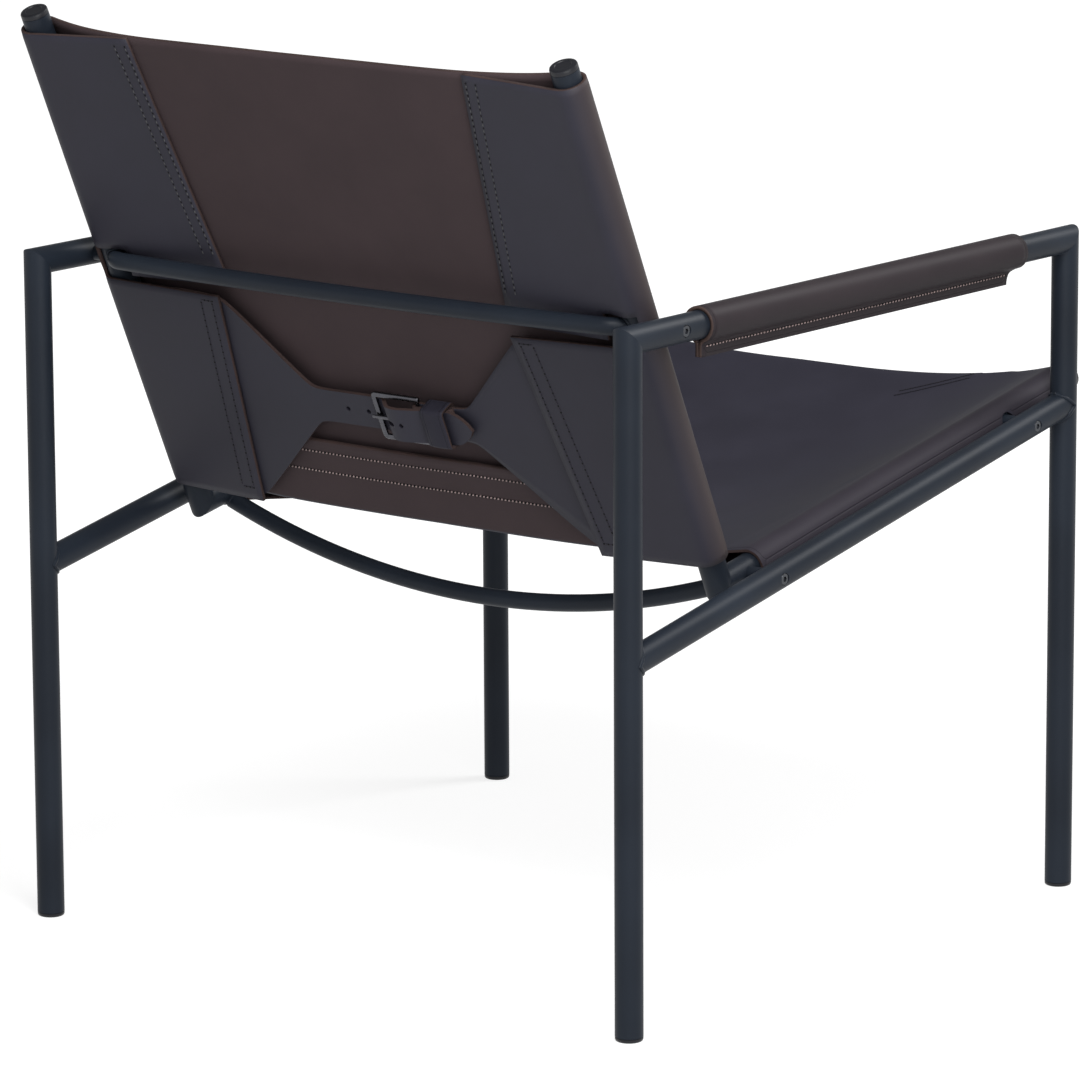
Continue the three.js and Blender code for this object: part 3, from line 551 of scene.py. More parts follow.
bm = bmesh.new()
BAR_SAG = 48.0
sag_end = on_seat(INNER_X, 0, 31.0) - UP * 6.5
sag_radius = (INNER_X**2 + BAR_SAG**2) / (2 * BAR_SAG)
sag_angle = atan2(INNER_X, sag_radius - BAR_SAG)
sag_centre = Vector((0, sag_end.y, sag_end.z - BAR_SAG + sag_radius))
start_angle = sag_angle - 0.009
start = sag_centre + Vector((-sin(start_angle), 0, -cos(start_angle))) * sag_radius
ring = ring_at(bm, start, Vector((cos(start_angle), 0, -sin(start_angle))), BAR_RADIUS, BAR_SIDES)
bend(bm, ring, sag_centre, Vector((0, -1, 0)), 2 * start_angle, 40)
close_holes(bm)
for side in (-1, 1):
    way = Vector((side * cos(start_angle), 0, sin(start_angle)))
    bead = []
    back_off = Vector((side * (INNER_X - 40), sag_end.y, sag_end.z - 40 * tan(start_angle)))
    for k in range(BAR_SIDES):
        turn = 2 * pi * k / BAR_SIDES
        across = Vector((0, cos(turn), 0)) + way.cross(Vector((0, 1, 0))) * sin(turn)
        start = back_off + across * BAR_RADIUS
        bead.append(meet(start, way, on_seat(side * INNER_X, 0, 0), ALONG_RAIL, TUBE_RADIUS))
    weld_bead(bm, bead, BAR_BEAD)
coated(bm, "lower-cross-bar")

# Tube caps. The open ends of the posts and the seat rails are closed with black nylon caps, dished on
# top. Each is pushed in by its plug and stands 4.5 mm proud of the tube.
CAP = [(0, -15.8), (8.2, -15.8), (8.7, -15), (8.7, 0.3), (11, 0.3), (11, 2.8), (10.6, 3.7), (9.4, 4.3)]
CAP += [(7.5, 4.5), (6.8, 4.4), (6.3, 3.9), (0, 3.9)]
for name, side in SIDES:
    ends = (("post", on_back(side * INNER_X, 0, POST_LENGTH), UP_POST),)
    ends += (("rail", on_seat(side * INNER_X, 0, SEAT_RAIL_LENGTH), ALONG_RAIL),)
    for place, tip, outward in ends:
        bm = bmesh.new()
        turned_plug(bm, CAP, tip, outward)
        piece_from(bm, f"{name}-{place}-cap", [black_nylon])

# Fasteners. At three places on each side a countersunk socket screw passes through the outer tube and
# a spacer into a thread insert in the inner tube. The screws are black steel, the spacers are coated like
# the frame.
OILED_DARK = from_255(62, 64, 68)
OILED_LIGHT = from_255(78, 80, 84)
black_steel = plain_finish("black steel", 900.0, OILED_DARK, OILED_LIGHT, 0.2, 0.12, Metallic=1.0)
STEEL_DARK = from_255(176, 178, 180)
STEEL_LIGHT = from_255(192, 194, 196)
plain_steel = plain_finish("plain steel", 700.0, STEEL_DARK, STEEL_LIGHT, 0.28, 0.15, Metallic=1.0)
SHANK_RADIUS = 3
SPACER_RADIUS = 6.0
SPACER_BORE = 3.3
SPACER_FIT = 0.05

for name, side in SIDES:
    for place, at in SCREWS.items():
        across = Vector((side, 0, 0))
        base = Vector((0, at.y, at.z))
        bm = bmesh.new()
        outline = [(0, INNER_X - 3.2), (SHANK_RADIUS, INNER_X - 3.2), (SHANK_RADIUS, HEAD_OUT - 1.6)]
        outline += [(4.4, HEAD_OUT - 0.15), (4.3, HEAD_OUT), (0, HEAD_OUT)]
        turned_plug(bm, outline, base, across)
        screw = piece_from(bm, f"{name}-{place}-screw", [black_steel])
        bm = bmesh.new()
        rod(bm, base + across * (HEAD_OUT - 1.2), base + across * (HEAD_OUT + 1), 2.3, sides=6)
        drill(screw, bm)
        bm = bmesh.new()
        outer_axis = Vector((0, -1, 0)) if place == "arm" else ALONG_RAIL
        inner_axis = UP_POST if place == "arm" else ALONG_RAIL
        for radius in (SPACER_RADIUS, SPACER_BORE):
            first = ring_at(bm, base + across * (INNER_X + 14), across, radius, 40)
            last = run_on(bm, first, across * 6)
            cope(first, -across, base + across * INNER_X, inner_axis, TUBE_RADIUS + SPACER_FIT)
            cope(last, across, base + across * LEG_X, outer_axis, TUBE_RADIUS + SPACER_FIT)
        close_ends(bm)
        coated(bm, f"{name}-{place}-spacer")
        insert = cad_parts[f"{name}_{place}_insert"]
        insert.data.materials.clear()
        insert.data.materials.append(plain_steel)

# Back sling. One hide, 3.5 mm thick, is wrapped round both posts with its grain side out; its upper
# flaps are sewn to the panel, its lower flaps are pulled together by the belt and the bottom edge is
# turned up and sewn as a hem.
HIDE = 3.5
WRAP = TUBE_RADIUS + 0.3 + HIDE / 2
PANEL_STEPS = 30
ROUND_STEPS = 14
TUCK_STEPS = 8
FLAP_STEPS = 16
HALF_STEPS = PANEL_STEPS + ROUND_STEPS + TUCK_STEPS + FLAP_STEPS
SLING_COLUMNS = 2 * HALF_STEPS + 1
HEM_CELLS = 20
HEM_FOLDED = 24
HEM_OPEN = 26
TUCK_FROM = radians(100)
BACK_BELLY = 5
BACK_LOW = 26.0
BACK_TOP = 450.5
SLIT_LOW = 224.0
SLIT = 226.5
SLIT_HIGH = 229.0
NOTCH_TOP = 253.0
BACK_ROWS_LOW = [BACK_LOW + (SLIT_LOW - BACK_LOW) * k / 33 for k in range(34)]
BACK_ROWS_HIGH = [SLIT_HIGH, 237.0, 245.0, NOTCH_TOP]
BACK_ROWS_HIGH += [NOTCH_TOP + (BACK_TOP - NOTCH_TOP) * k / 33 for k in range(1, 34)]
HEM_ROWS = 14


def leather_finish(name, light, dark, bend_colour, shaded_creases, fibre, rough, shine):
    """A leather: mottled colour, browner where it is bent, grain or fibres, and darkened creases along its
    cut edges, partly burnish and partly painted shade.
    """
    material, mix, shader = new_finish(name, Specular_IOR_Level=shine)
    flat = mix.node("ShaderNodeTexCoord", {}, {}, "UV")
    rim = mix.node("ShaderNodeAttribute", {"attribute_name": "from_edge"}, {}, "Fac")
    bent = mix.node("ShaderNodeAttribute", {"attribute_name": "bent"}, {}, "Fac")
    mottle = mix.noise(flat, 16.0, 5.0, 0.6)
    blotch = mix.noise(flat, 6.0, 2.0)
    pores = mix.noise(flat, 800.0 if fibre else 1100.0, 4.0, 0.65)
    # Painted shade: creases 3.2 mm from the cut edges, and along the seat rail, are darkened in colour as
    # well as grooved in the bump; the darkening is partly the burnish of the creasing and partly painted
    # shade in the fold.
    crease_burnish_and_shade = rim.band(3.2, 0.9) * shaded_creases
    tone = mottle.ramp(0.25, 0.75) * 0.6 + blotch.ramp(0.3, 0.7) * 0.4
    colour = mix.blend(bent * (0.6 + 0.6 * mottle), mix.blend(tone, dark, light), bend_colour)
    colour_with_creases = mix.blend(crease_burnish_and_shade * 0.5, colour, [part * 0.45 for part in dark[:3]] + [1.0])
    mix.feed(shader, Base_Color=colour_with_creases, Roughness=rough + 0.12 * pores + 0.08 * tone)
    height = pores * (0.35 if fibre else 0.2) + mottle * 0.3 - crease_burnish_and_shade * 2.0
    mix.feed(shader, Normal=mix.bump(height, 0.0002, 0.6))
    return material


# Painted reflection: the blue-grey cast of the grain colours below stands for cool studio light reflected
# off dark brown leather; where the hide bends round a tube the colour turns browner, without that painted
# reflection.
GRAIN_BENT = from_255(60, 52, 52)
EDGE_BENT = from_255(60, 47, 45)
LEATHER_COLOURS = [from_255(48, 47, 57), from_255(40, 39, 48), GRAIN_BENT]
grain = leather_finish("sling leather, grain side", *LEATHER_COLOURS, 0.0, False, 0.46, 0.2)
# The seat's leather: the same painted bluish reflection, less shine, and creases darkened partly with
# painted shade.
LEATHER_COLOURS = [from_255(51, 50, 60), from_255(43, 42, 51), GRAIN_BENT]
creased_shaded = leather_finish("sling leather, creased", *LEATHER_COLOURS, 1.0, False, 0.46, 0.08)
LEATHER_COLOURS = [from_255(69, 58, 60), from_255(60, 50, 52), GRAIN_BENT]
flesh = leather_finish("sling leather, flesh side", *LEATHER_COLOURS, 0.0, True, 0.62, 0.15)
LEATHER_COLOURS = [from_255(68, 54, 52), from_255(52, 42, 41), EDGE_BENT]
raw_edge = leather_finish("sling leather, cut edge", *LEATHER_COLOURS, 0.0, True, 0.6, 0.15)


def between(value, start, end, first, last):
    """The value's place between start and end, carried over to between first and last."""
    return first + (last - first) * (value - start) / (end - start)


def panel_line(sag, belly):
    """How a sling's panel hangs: the angle and distance where it meets the tubes, and its level."""
    angle = 0.2
    for _ in range(12):
        angle = atan(belly * (sag + WRAP * cos(angle)) / (INNER_X - WRAP * sin(angle)))
    width = INNER_X - WRAP * sin(angle)
    rise = sag + WRAP * cos(angle)
    return angle, width, lambda x: -sag + rise * (abs(x) / width) ** belly


def sling_half(sag, belly, flap):
    """Half of a sling's middle layer, from the panel's middle round the tube to the end of its flap."""
    angle, width, level = panel_line(sag, belly)
    half = []
    for k in range(PANEL_STEPS):
        x = width * (1 - (1 - k / PANEL_STEPS) ** 1.4)
        half.append((x, level(x)))
    flap_x, flap_y = flap
    off = flap_x - INNER_X
    leave = pi + atan2(-off, -flap_y) - acos(WRAP / hypot(off, flap_y))
    turns = [-angle + (TUCK_FROM + angle) * k / ROUND_STEPS for k in range(ROUND_STEPS)]
    turns += [TUCK_FROM + (leave - TUCK_FROM) * k / TUCK_STEPS for k in range(TUCK_STEPS)]
    half += [(INNER_X + WRAP * sin(turn), WRAP * cos(turn)) for turn in turns]
    from_x, from_y = INNER_X + WRAP * sin(leave), WRAP * cos(leave)
    for k in range(FLAP_STEPS + 1):
        part = k / FLAP_STEPS
        half.append((from_x + (flap_x - from_x) * part, from_y + (flap_y - from_y) * part))
    return half


def back_bow(up):
    """How far the back's panel hangs behind its posts: 6.5 mm at the bottom, 3.5 mm at the top."""
    return between(up, BACK_LOW, BACK_TOP, 6.5, 3.5)


def back_flap(up):
    """The end of a back flap: the upper ones lie on the panel, the lower ones stand off it."""
    level = panel_line(back_bow(up), BACK_BELLY)[2]
    if up > SLIT:
        x = between(up, SLIT_HIGH, BACK_TOP, 141.0, 167.5)
        return x, level(x) - HIDE * 0.9 - 0.3
    return between(up, BACK_LOW, SLIT_LOW, 173.0, 148.0), -18.0


back_rows = BACK_ROWS_LOW + BACK_ROWS_HIGH


def back_half(up):
    """Half of the back's middle layer at a height."""
    return sling_half(back_bow(up), BACK_BELLY, back_flap(up))


back_halves = [back_half(up) for up in back_rows]


def slack(x, along, seed, amount):
    """The slight unevenness of a hide that has been pulled over its frame."""
    broad = noise.noise(Vector((x / 120, along / 150, seed)))
    fine = noise.noise(Vector((x / 45, along / 60, seed + 7)))
    return amount * (broad + 0.35 * fine)


def lengths_along(line):
    """How far each point of a line lies from its start along the leather."""
    path = [0.0]
    for (x0, y0), (x1, y1) in zip(line, line[1:]):
        path.append(path[-1] + hypot(x1 - x0, y1 - y0))
    return path


def new_hide():
    """A mesh that can note where its points lie on the flat cut and how far from its cut edges."""
    bm = bmesh.new()
    bm.loops.layers.uv.new("flat cut")
    bm.verts.layers.float.new("from_edge")
    bm.verts.layers.float.new("bent")
    return bm


def note_cut(bm, crossings, flat, from_edge, bent_at=None):
    """Writes each point's place on the flat cut, its distance from a cut edge and how much it is bent."""
    uv = bm.loops.layers.uv["flat cut"]
    edge = bm.verts.layers.float["from_edge"]
    bent = bm.verts.layers.float["bent"]
    spots = {}
    for (column, row), vert in crossings.items():
        if vert.is_valid:
            spots[vert] = flat(column, row)
            vert[edge] = from_edge(column, row)
            vert[bent] = bent_at(column) if bent_at else 0.0
    for face in bm.faces:
        for loop in face.loops:
            loop[uv].uv = spots[loop.vert]


def bent_round(column):
    """1 where a sling goes round its tube, 0 on its panel and flaps."""
    step = abs(column - HALF_STEPS)
    into = min(max((step - PANEL_STEPS + 4) / 6, 0.0), 1.0)
    out = min(max((PANEL_STEPS + ROUND_STEPS + 5 - step) / 7, 0.0), 1.0)
    return into * out


def hide_piece(
    bm, name, finishes, thickness, skived=1.0, slot="sling_leather", body="chair", stands_for=None, **cut
):
    """A finished piece of leather with a grain side, a flesh side and a cut edge, which may be skived."""
    piece = piece_from(bm, name, finishes, body, stands_for, sharp=180, turned=False)
    solid = piece.modifiers.new("hide", "SOLIDIFY")
    if skived < 1:
        full = piece.vertex_groups.new(name="full thickness")
        for place, edge in enumerate(piece.data.attributes["from_edge"].data):
            full.add([place], min(max(edge.value / 6, 0.0), 1.0), "REPLACE")
        solid.vertex_group = full.name
        solid.thickness_vertex_group = skived
    solid.thickness = thickness / 1000
    solid.offset = 0
    solid.use_even_offset = True
    solid.material_offset = 1
    solid.material_offset_rim = 2
    return piece


def pressed(place, side, x):
    """A place on a flap, pressed in where the upper cross bar lies against the leather."""
    if x > PRESSED_WITHIN:
        return place
    room = BAR_RADIUS + HIDE / 2 + 0.3
    for _ in range(3):
        here = Vector((side * place.x, place.y, place.z))
        gap = min((here - spot).length for spot in bar_line)
        over = (room - gap + sqrt((room - gap) ** 2 + 9.0)) / 2 - 0.25
        place = place - OFF_POST * max(over, 0.0) * 0.6
    return place


back_paths = [lengths_along(half) for half in back_halves]
bm = new_hide()
FOLD = 2.0
FOLD_SHARE = 0.36
HEM_DEEP = 64.0
HEM_AT = 28.5
BACK_SLACK = (3, 0.7)
PRESSED_BELOW = 290
PRESSED_WITHIN = 258


def back_spot(column, row):
    """Place of a point of the back's hide."""
    part = column - HALF_STEPS
    side = 1 if part >= 0 else -1
    step = abs(part)
    if row >= HEM_ROWS:
        up = back_rows[row - HEM_ROWS]
        x, level = back_halves[row - HEM_ROWS][step]
        loose = slack(side * x, up, *BACK_SLACK) if step < PANEL_STEPS - 4 else 0.0
        if row == HEM_ROWS and step < HEM_FOLDED:
            up += 2.5
        place = on_back(side * x, -level + loose, up)
        if step > PANEL_STEPS + ROUND_STEPS and SLIT < up < PRESSED_BELOW:
            place = pressed(place, side, x)
        return place
    x, level = back_halves[0][step]
    run = (HEM_ROWS - row) / HEM_ROWS
    if run < FOLD_SHARE:
        turn = pi * run / FOLD_SHARE
        rise = -FOLD * sin(turn)
        off = FOLD * (1 - cos(turn))
    else:
        rise = HEM_DEEP * (run - FOLD_SHARE) / (1 - FOLD_SHARE)
        off = 2 * FOLD + 4.0 * max(0.0, (rise - 52) / 12) ** 2
    up = HEM_AT + rise
    level = panel_line(back_bow(up), BACK_BELLY)[2](x)
    return on_back(side * x, -level + off + slack(side * x, up, *BACK_SLACK), up)


crossings = laid_grid(bm, SLING_COLUMNS, HEM_ROWS + len(back_rows), back_spot)


def back_flat(column, row):
    """Place of a point on the flat cut, in metres."""
    part = column - HALF_STEPS
    line = max(row - HEM_ROWS, 0)
    x = back_paths[line][abs(part)] * (1 if part >= 0 else -1)
    if row >= HEM_ROWS:
        return x / 1000, back_rows[line] / 1000
    return x / 1000, (BACK_LOW - (HEM_ROWS - row) / HEM_ROWS * (HEM_DEEP + FOLD * pi)) / 1000


def back_edge(column, row):
    """Distance of a point from the nearest cut edge."""
    step = abs(column - HALF_STEPS)
    line = max(row - HEM_ROWS, 0)
    up = back_rows[line]
    if row < HEM_ROWS:
        return row * 6.0
    ends = [BACK_TOP - up]
    ends.append(back_paths[line][-1] - back_paths[line][step])
    if step >= PANEL_STEPS + ROUND_STEPS:
        ends.append(abs(up - SLIT_LOW) if up < SLIT else abs(up - SLIT_HIGH))
    if step >= HEM_OPEN:
        ends.append(up - BACK_LOW)
    return min(ends)


def faces_to_cut(bm, crossings, cut_away):
    """The faces of a sling whose cell, counted from the panel's middle, and row are cut away."""
    doomed = []
    for (column, row), vert in crossings.items():
        corner = crossings.get((column + 1, row + 1))
        step = column - HALF_STEPS
        if corner is not None and cut_away(step if step >= 0 else -step - 1, row):
            corners = [vert, crossings[column + 1, row], corner, crossings[column, row + 1]]
            doomed.append(bm.faces.get(corners))
    return doomed


def back_cut(cell, row):
    """The slit between the flaps, the notch for the cross bar and the ends of the hem are cut away."""
    beyond = cell - PANEL_STEPS - ROUND_STEPS - 4
    above = row - HEM_ROWS - len(BACK_ROWS_LOW)
    slit = above == -1 and beyond >= 0
    notch = 0 <= above < 3 and 0 <= beyond < TUCK_STEPS - 1
    hem_end = row < HEM_ROWS and cell >= HEM_CELLS
    return slit or notch or hem_end


note_cut(bm, crossings, back_flat, back_edge, bent_round)
doomed = faces_to_cut(bm, crossings, back_cut)
for (column, row), vert in crossings.items():
    if row < HEM_ROWS - 5:
        for face in vert.link_faces:
            face.material_index = 1
bmesh.ops.delete(bm, geom=doomed, context="FACES")
hide_piece(
    bm,
    "back-sling",
    [grain, flesh, raw_edge],
    HIDE,
    skived=0.8,
    flat=(2 * max(path[-1] for path in back_paths) / 1000, (BACK_TOP - BACK_LOW + HEM_DEEP) / 1000),
    held="stretched",
    rests_on=["left-back-post", "right-back-post"],
)

# Seams of the back. Two rows of waxed thread hold each upper flap to the panel, two of dark thread hold
# each lower flap to its tab, and two of undyed linen thread hold the hem. Every stitch is a short round of
# thread that dips into the leather, with a dark dot of painted shade for each hole the needle made.
def thread_finish(name, colour):
    """A twisted thread, darker between its strands as painted shade."""
    shaded = [part * 0.8 for part in colour[:3]] + [1.0]
    return plain_finish(name, 2400.0, shaded, colour, 0.5, 0.2, 2.0, Specular_IOR_Level=0.15)


dark_thread = thread_finish("dark thread", from_255(52, 50, 58))
waxed_thread = thread_finish("waxed thread", from_255(82, 83, 84))
linen_thread = thread_finish("linen thread", from_255(178, 156, 154))
needle_hole_shade = thread_finish("painted needle-hole shade", from_255(9, 8, 9))


def join(bm, other):
    """Moves one mesh into another."""
    mesh = bpy.data.meshes.new("joined")
    other.to_mesh(mesh)
    other.free()
    bm.from_mesh(mesh)
    bpy.data.meshes.remove(mesh)


def sew(bm, line, pitch, thick, slant=0.0, drawn=0.38):
    """A row of stitches, each with a dark dot of painted shade for the hole the needle made, along places
    given with the way the leather faces there.
    """
    row = bmesh.new()
    walked = 0.0
    due = pitch / 2
    for (start, facing), (end, _) in zip(line, line[1:]):
        step = (end - start).length
        while due <= walked + step:
            along = (end - start) / step
            side = facing.cross(along).normalized()
            at = start + along * (due - walked) + facing * (thick * 0.1)
            turn = Matrix((along, side, along.cross(side))).transposed().to_quaternion()
            slanted = turn @ Quaternion((0, 0, 1), slant)
            place = Matrix.LocRotScale(at, slanted, Vector((pitch * drawn, thick * 0.42, thick * 0.45)))
            bmesh.ops.create_uvsphere(row, u_segments=6, v_segments=4, radius=1, matrix=place)
            # Painted shade: a dark dot sunk into the leather half a pitch on stands for the hole the needle
            # made.
            at += along * (pitch / 2) - facing * (thick * 0.1)
            place = Matrix.LocRotScale(at, turn, Vector((thick * 0.85, thick * 0.72, thick * 0.42)))
            made = bmesh.ops.create_uvsphere(row, u_segments=6, v_segments=3, radius=1, matrix=place)
            for face in {face for vert in made["verts"] for face in vert.link_faces}:
                face.material_index = 1
            due += pitch
        walked += step
    join(bm, row)


def stitched(bm, name, thread):
    """A finished seam; it stands for no CAD node."""
    piece_from(bm, name, [thread, needle_hole_shade], stands_for=())


def flap_face(half, x):
    """Level of a flap's middle layer at a distance from the middle, and the way its outer side faces."""
    (x0, y0), (x1, y1) = half[-FLAP_STEPS - 1], half[-1]
    level = between(x, x0, x1, y0, y1)
    long = hypot(x1 - x0, y1 - y0)
    facing = ((y1 - y0) / long, -(x1 - x0) / long)
    return level, facing if facing[1] < 0 else (-facing[0], -facing[1])


def on_back_flap(side, x, up):
    """A place on the outer face of a back flap, and the way it faces."""
    level, (across, away) = flap_face(back_half(up), x)
    facing = Vector((side * across, 0, 0)) - OFF_POST * away
    return on_back(side * x, -level, up) + facing * (HIDE / 2), facing


def on_back_panel(x, up, face):
    """A place on the front or rear face of the back's panel."""
    level = panel_line(back_bow(up), BACK_BELLY)[2](x)
    return on_back(x, -level + slack(x, up, *BACK_SLACK) + face * HIDE / 2, up), OFF_POST * face


def steps_of(start, end, count=40):
    """Even steps from start to end."""
    return [start + (end - start) * k / count for k in range(count + 1)]


SEAM_LOW = 38.0
SEAM_HIGH = 219.0
SEAM_TOP = 446.0
UPPER_STITCH = {"pitch": 5.4, "thick": 1.2, "drawn": 0.24}
LOWER_STITCH = {"thick": 1.3, "drawn": 0.28}
HEM_STITCH = {"pitch": 3.6, "thick": 1.8, "slant": 0.35, "drawn": 0.33}
for name, side in SIDES:
    bm = bmesh.new()
    for low_x, high_x in ((155.5, 181.0), (145.5, 171.0)):
        rows = [(between(up, 238.0, SEAM_TOP, low_x, high_x), up) for up in steps_of(256.0, SEAM_TOP)]
        sew(bm, [on_back_flap(side, x, up) for x, up in rows], **UPPER_STITCH)
        sew(bm, [on_back_panel(side * x, up, -1) for x, up in rows], **UPPER_STITCH)
    stitched(bm, f"{name}-upper-flap-stitches", waxed_thread)
    bm = bmesh.new()
    for low_x, high_x in ((191.5, 168.0), (179.0, 156.0)):
        heights = steps_of(SEAM_LOW, SEAM_HIGH)
        rows = [(between(up, SEAM_LOW, SEAM_HIGH, low_x, high_x), up) for up in heights]
        sew(bm, [on_back_flap(side, x, up) for x, up in rows], pitch=5.8, **LOWER_STITCH)
    for up, first, last in ((SEAM_HIGH, 168.0, 156.0), (SEAM_LOW, 191.5, 179.0)):
        sew(bm, [on_back_flap(side, x, up) for x in steps_of(first, last, 6)], pitch=4.2, **LOWER_STITCH)
    stitched(bm, f"{name}-lower-flap-stitches", dark_thread)
bm = bmesh.new()
for up in (79.0, 60.0):
    line = []
    for x in steps_of(-150.0, 150.0):
        spot, facing = on_back_panel(x, up, 1)
        line.append((spot + facing * 2 * FOLD, facing))
    sew(bm, line, **HEM_STITCH)
    sew(bm, [on_back_panel(x, up, -1) for x in steps_of(-150.0, 150.0)], **HEM_STITCH)
stitched(bm, "back-hem-stitches", linen_thread)

# Seat sling. A second hide of the same leather hangs between the seat rails; its sides are wrapped under
# the rails as flaps, its front edge is folded under and sewn, and the sides are cut out where the front
# spacers pass.
SEAT_BELLY = 3
SEAT_REAR = 40.0
SEAT_DEEPEST = 235
SEAT_FRONT = 470.0
SEAT_SLACK = (11, 0.9)
SEAT_FOLD_ROWS = 12
seat_rows = [SEAT_REAR + (SEAT_FRONT - SEAT_REAR) * k / 72 for k in range(73)]


def seat_sag(along):
    """The seat hangs 4 mm at the rear edge, 34 mm at its deepest and 12.5 mm at the front edge."""
    stops = ((SEAT_REAR, 4.0), (SEAT_DEEPEST, 34.0), (SEAT_FRONT, 12.5))
    sag = 0.0
    for stop, deep in stops:
        for other, _ in stops:
            if other != stop:
                deep *= (along - other) / (stop - other)
        sag += deep
    return sag


def seat_flap(along):
    """The end of a seat flap, under the panel; its front corner is cut off beside the hem."""
    part = (along - SEAT_REAR) / (SEAT_FRONT - SEAT_REAR)
    x = 150.0 if along < 424 else between(along, 424, SEAT_FRONT, 150.0, 196.0)
    room = HIDE + 0.3 + 24.0 * part * (1 - part)
    return x, panel_line(seat_sag(along), SEAT_BELLY)[2](x) - room


def seat_half(along):
    """Half of the seat's middle layer at a distance along the rails."""
    return sling_half(seat_sag(along), SEAT_BELLY, seat_flap(along))


seat_halves = [seat_half(along) for along in seat_rows]
seat_paths = [lengths_along(half) for half in seat_halves]
SEAT_HEM_DEEP = 41.0
SEAT_FOLD_SHARE = 0.4
SEAT_HEM_CELLS = 18
SEAT_HEM_OPEN = 22


def seat_spot(column, row):
    """Place of a point of the seat's hide; the columns run from the sitter's left to right."""
    part = HALF_STEPS - column
    side = 1 if part >= 0 else -1
    step = abs(part)
    if row < len(seat_rows):
        along = seat_rows[row]
        x, level = seat_halves[row][step]
        loose = slack(side * x, along, *SEAT_SLACK) if step < PANEL_STEPS - 4 else 0.0
        beyond = step - PANEL_STEPS - ROUND_STEPS - TUCK_STEPS
        if beyond > 0:
            rear = max(0.0, 1 - (along - SEAT_REAR) / 90)
            along += 28.0 * rear * beyond / FLAP_STEPS
        return on_seat(side * x, level + loose, along)
    run = (row - len(seat_rows) + 1) / SEAT_FOLD_ROWS
    x, level = seat_halves[-1][step]
    if run < SEAT_FOLD_SHARE:
        turn = pi * run / SEAT_FOLD_SHARE
        ahead = FOLD * sin(turn)
        off = -FOLD * (1 - cos(turn))
        narrow = 1.0
    else:
        ahead = -SEAT_HEM_DEEP * (run - SEAT_FOLD_SHARE) / (1 - SEAT_FOLD_SHARE)
        off = -2 * FOLD
        narrow = between(run, SEAT_FOLD_SHARE, 1.0, 1.0, 0.72)
    along = SEAT_FRONT + ahead
    x *= narrow
    level = panel_line(seat_sag(along), SEAT_BELLY)[2](x)
    return on_seat(side * x, level + off + slack(side * x, along, *SEAT_SLACK), along)


def seat_flat(column, row):
    """Place of a point on the flat cut, in metres."""
    part = HALF_STEPS - column
    line = min(row, len(seat_rows) - 1)
    x = seat_paths[line][abs(part)] * (1 if part >= 0 else -1)
    if row < len(seat_rows):
        return x / 1000, seat_rows[row] / 1000
    over = (row - len(seat_rows) + 1) / SEAT_FOLD_ROWS * (SEAT_HEM_DEEP + pi * FOLD)
    return x / 1000, (SEAT_FRONT + over) / 1000


def seat_edge(column, row):
    """Distance of a point from the nearest cut edge, or from the line along the rail that the finish
    darkens, partly as a creasing and partly as painted shade in the fold.
    """
    step = abs(HALF_STEPS - column)
    if row >= len(seat_rows):
        return (len(seat_rows) + SEAT_FOLD_ROWS - 1 - row) * 5.0
    ends = [seat_rows[row] - SEAT_REAR, seat_paths[row][-1] - seat_paths[row][step]]
    if step > SEAT_HEM_OPEN:
        ends.append(SEAT_FRONT - seat_rows[row])
    # The line along the rail, where the hide rolls over it, is darkened partly as painted shade in the fold.
    ends.append(3.2 + abs(seat_paths[row][step] - seat_paths[row][PANEL_STEPS + 10]))
    return min(ends)


bm = new_hide()
crossings = laid_grid(bm, SLING_COLUMNS, len(seat_rows) + SEAT_FOLD_ROWS, seat_spot)
note_cut(bm, crossings, seat_flat, seat_edge, lambda column: 0.3 * bent_round(column))
doomed = faces_to_cut(
    bm, crossings, lambda cell, row: row >= len(seat_rows) - 1 and cell >= SEAT_HEM_CELLS
)
bmesh.ops.delete(bm, geom=doomed, context="FACES")
seat_sling = hide_piece(
    bm,
    "seat-sling",
    [creased_shaded, flesh, raw_edge],
    HIDE,
    skived=0.6,
    stands_for=["seat_sling", "left_seat_sleeve", "right_seat_sleeve"],
    flat=(2 * max(path[-1] for path in seat_paths) / 1000, (SEAT_FRONT - SEAT_REAR + SEAT_HEM_DEEP) / 1000),
    held="stretched",
    rests_on=["left-seat-rail", "right-seat-rail"],
)

# Seams of the seat. Two short rows of black thread on each side hold the folded front edge where it runs
# to the corner, and the sleeves are punched where the front spacers pass through them.
def on_seat_panel(x, along, face):
    """A place on the upper or lower face of the seat's panel."""
    level = panel_line(seat_sag(along), SEAT_BELLY)[2](x)
    return on_seat(x, level + slack(x, along, *SEAT_SLACK) + face * HIDE / 2, along), OFF_RAIL * face


black_thread = thread_finish("black thread", from_255(30, 28, 33))
for name, side in SIDES:
    bm = bmesh.new()
    for shift in (0.0, -7.5):
        spots = [(x, between(x, 128.0, 180.0, 441.0, 468.0) + shift) for x in steps_of(124.0, 180.0, 20)]
        sew(bm, [on_seat_panel(side * x, along, 1) for x, along in spots], pitch=4.4, thick=1.3)
    stitched(bm, f"{name}-seat-corner-stitches", black_thread)
    bm = bmesh.new()
    spacer = SCREWS["front_rail"]
    inside = Vector((side * (INNER_X + 6), spacer.y, spacer.z))
    rod(bm, inside, inside + Vector((side * 16, 0, 0)), 8.2)
    drill(seat_sling, bm, 60)

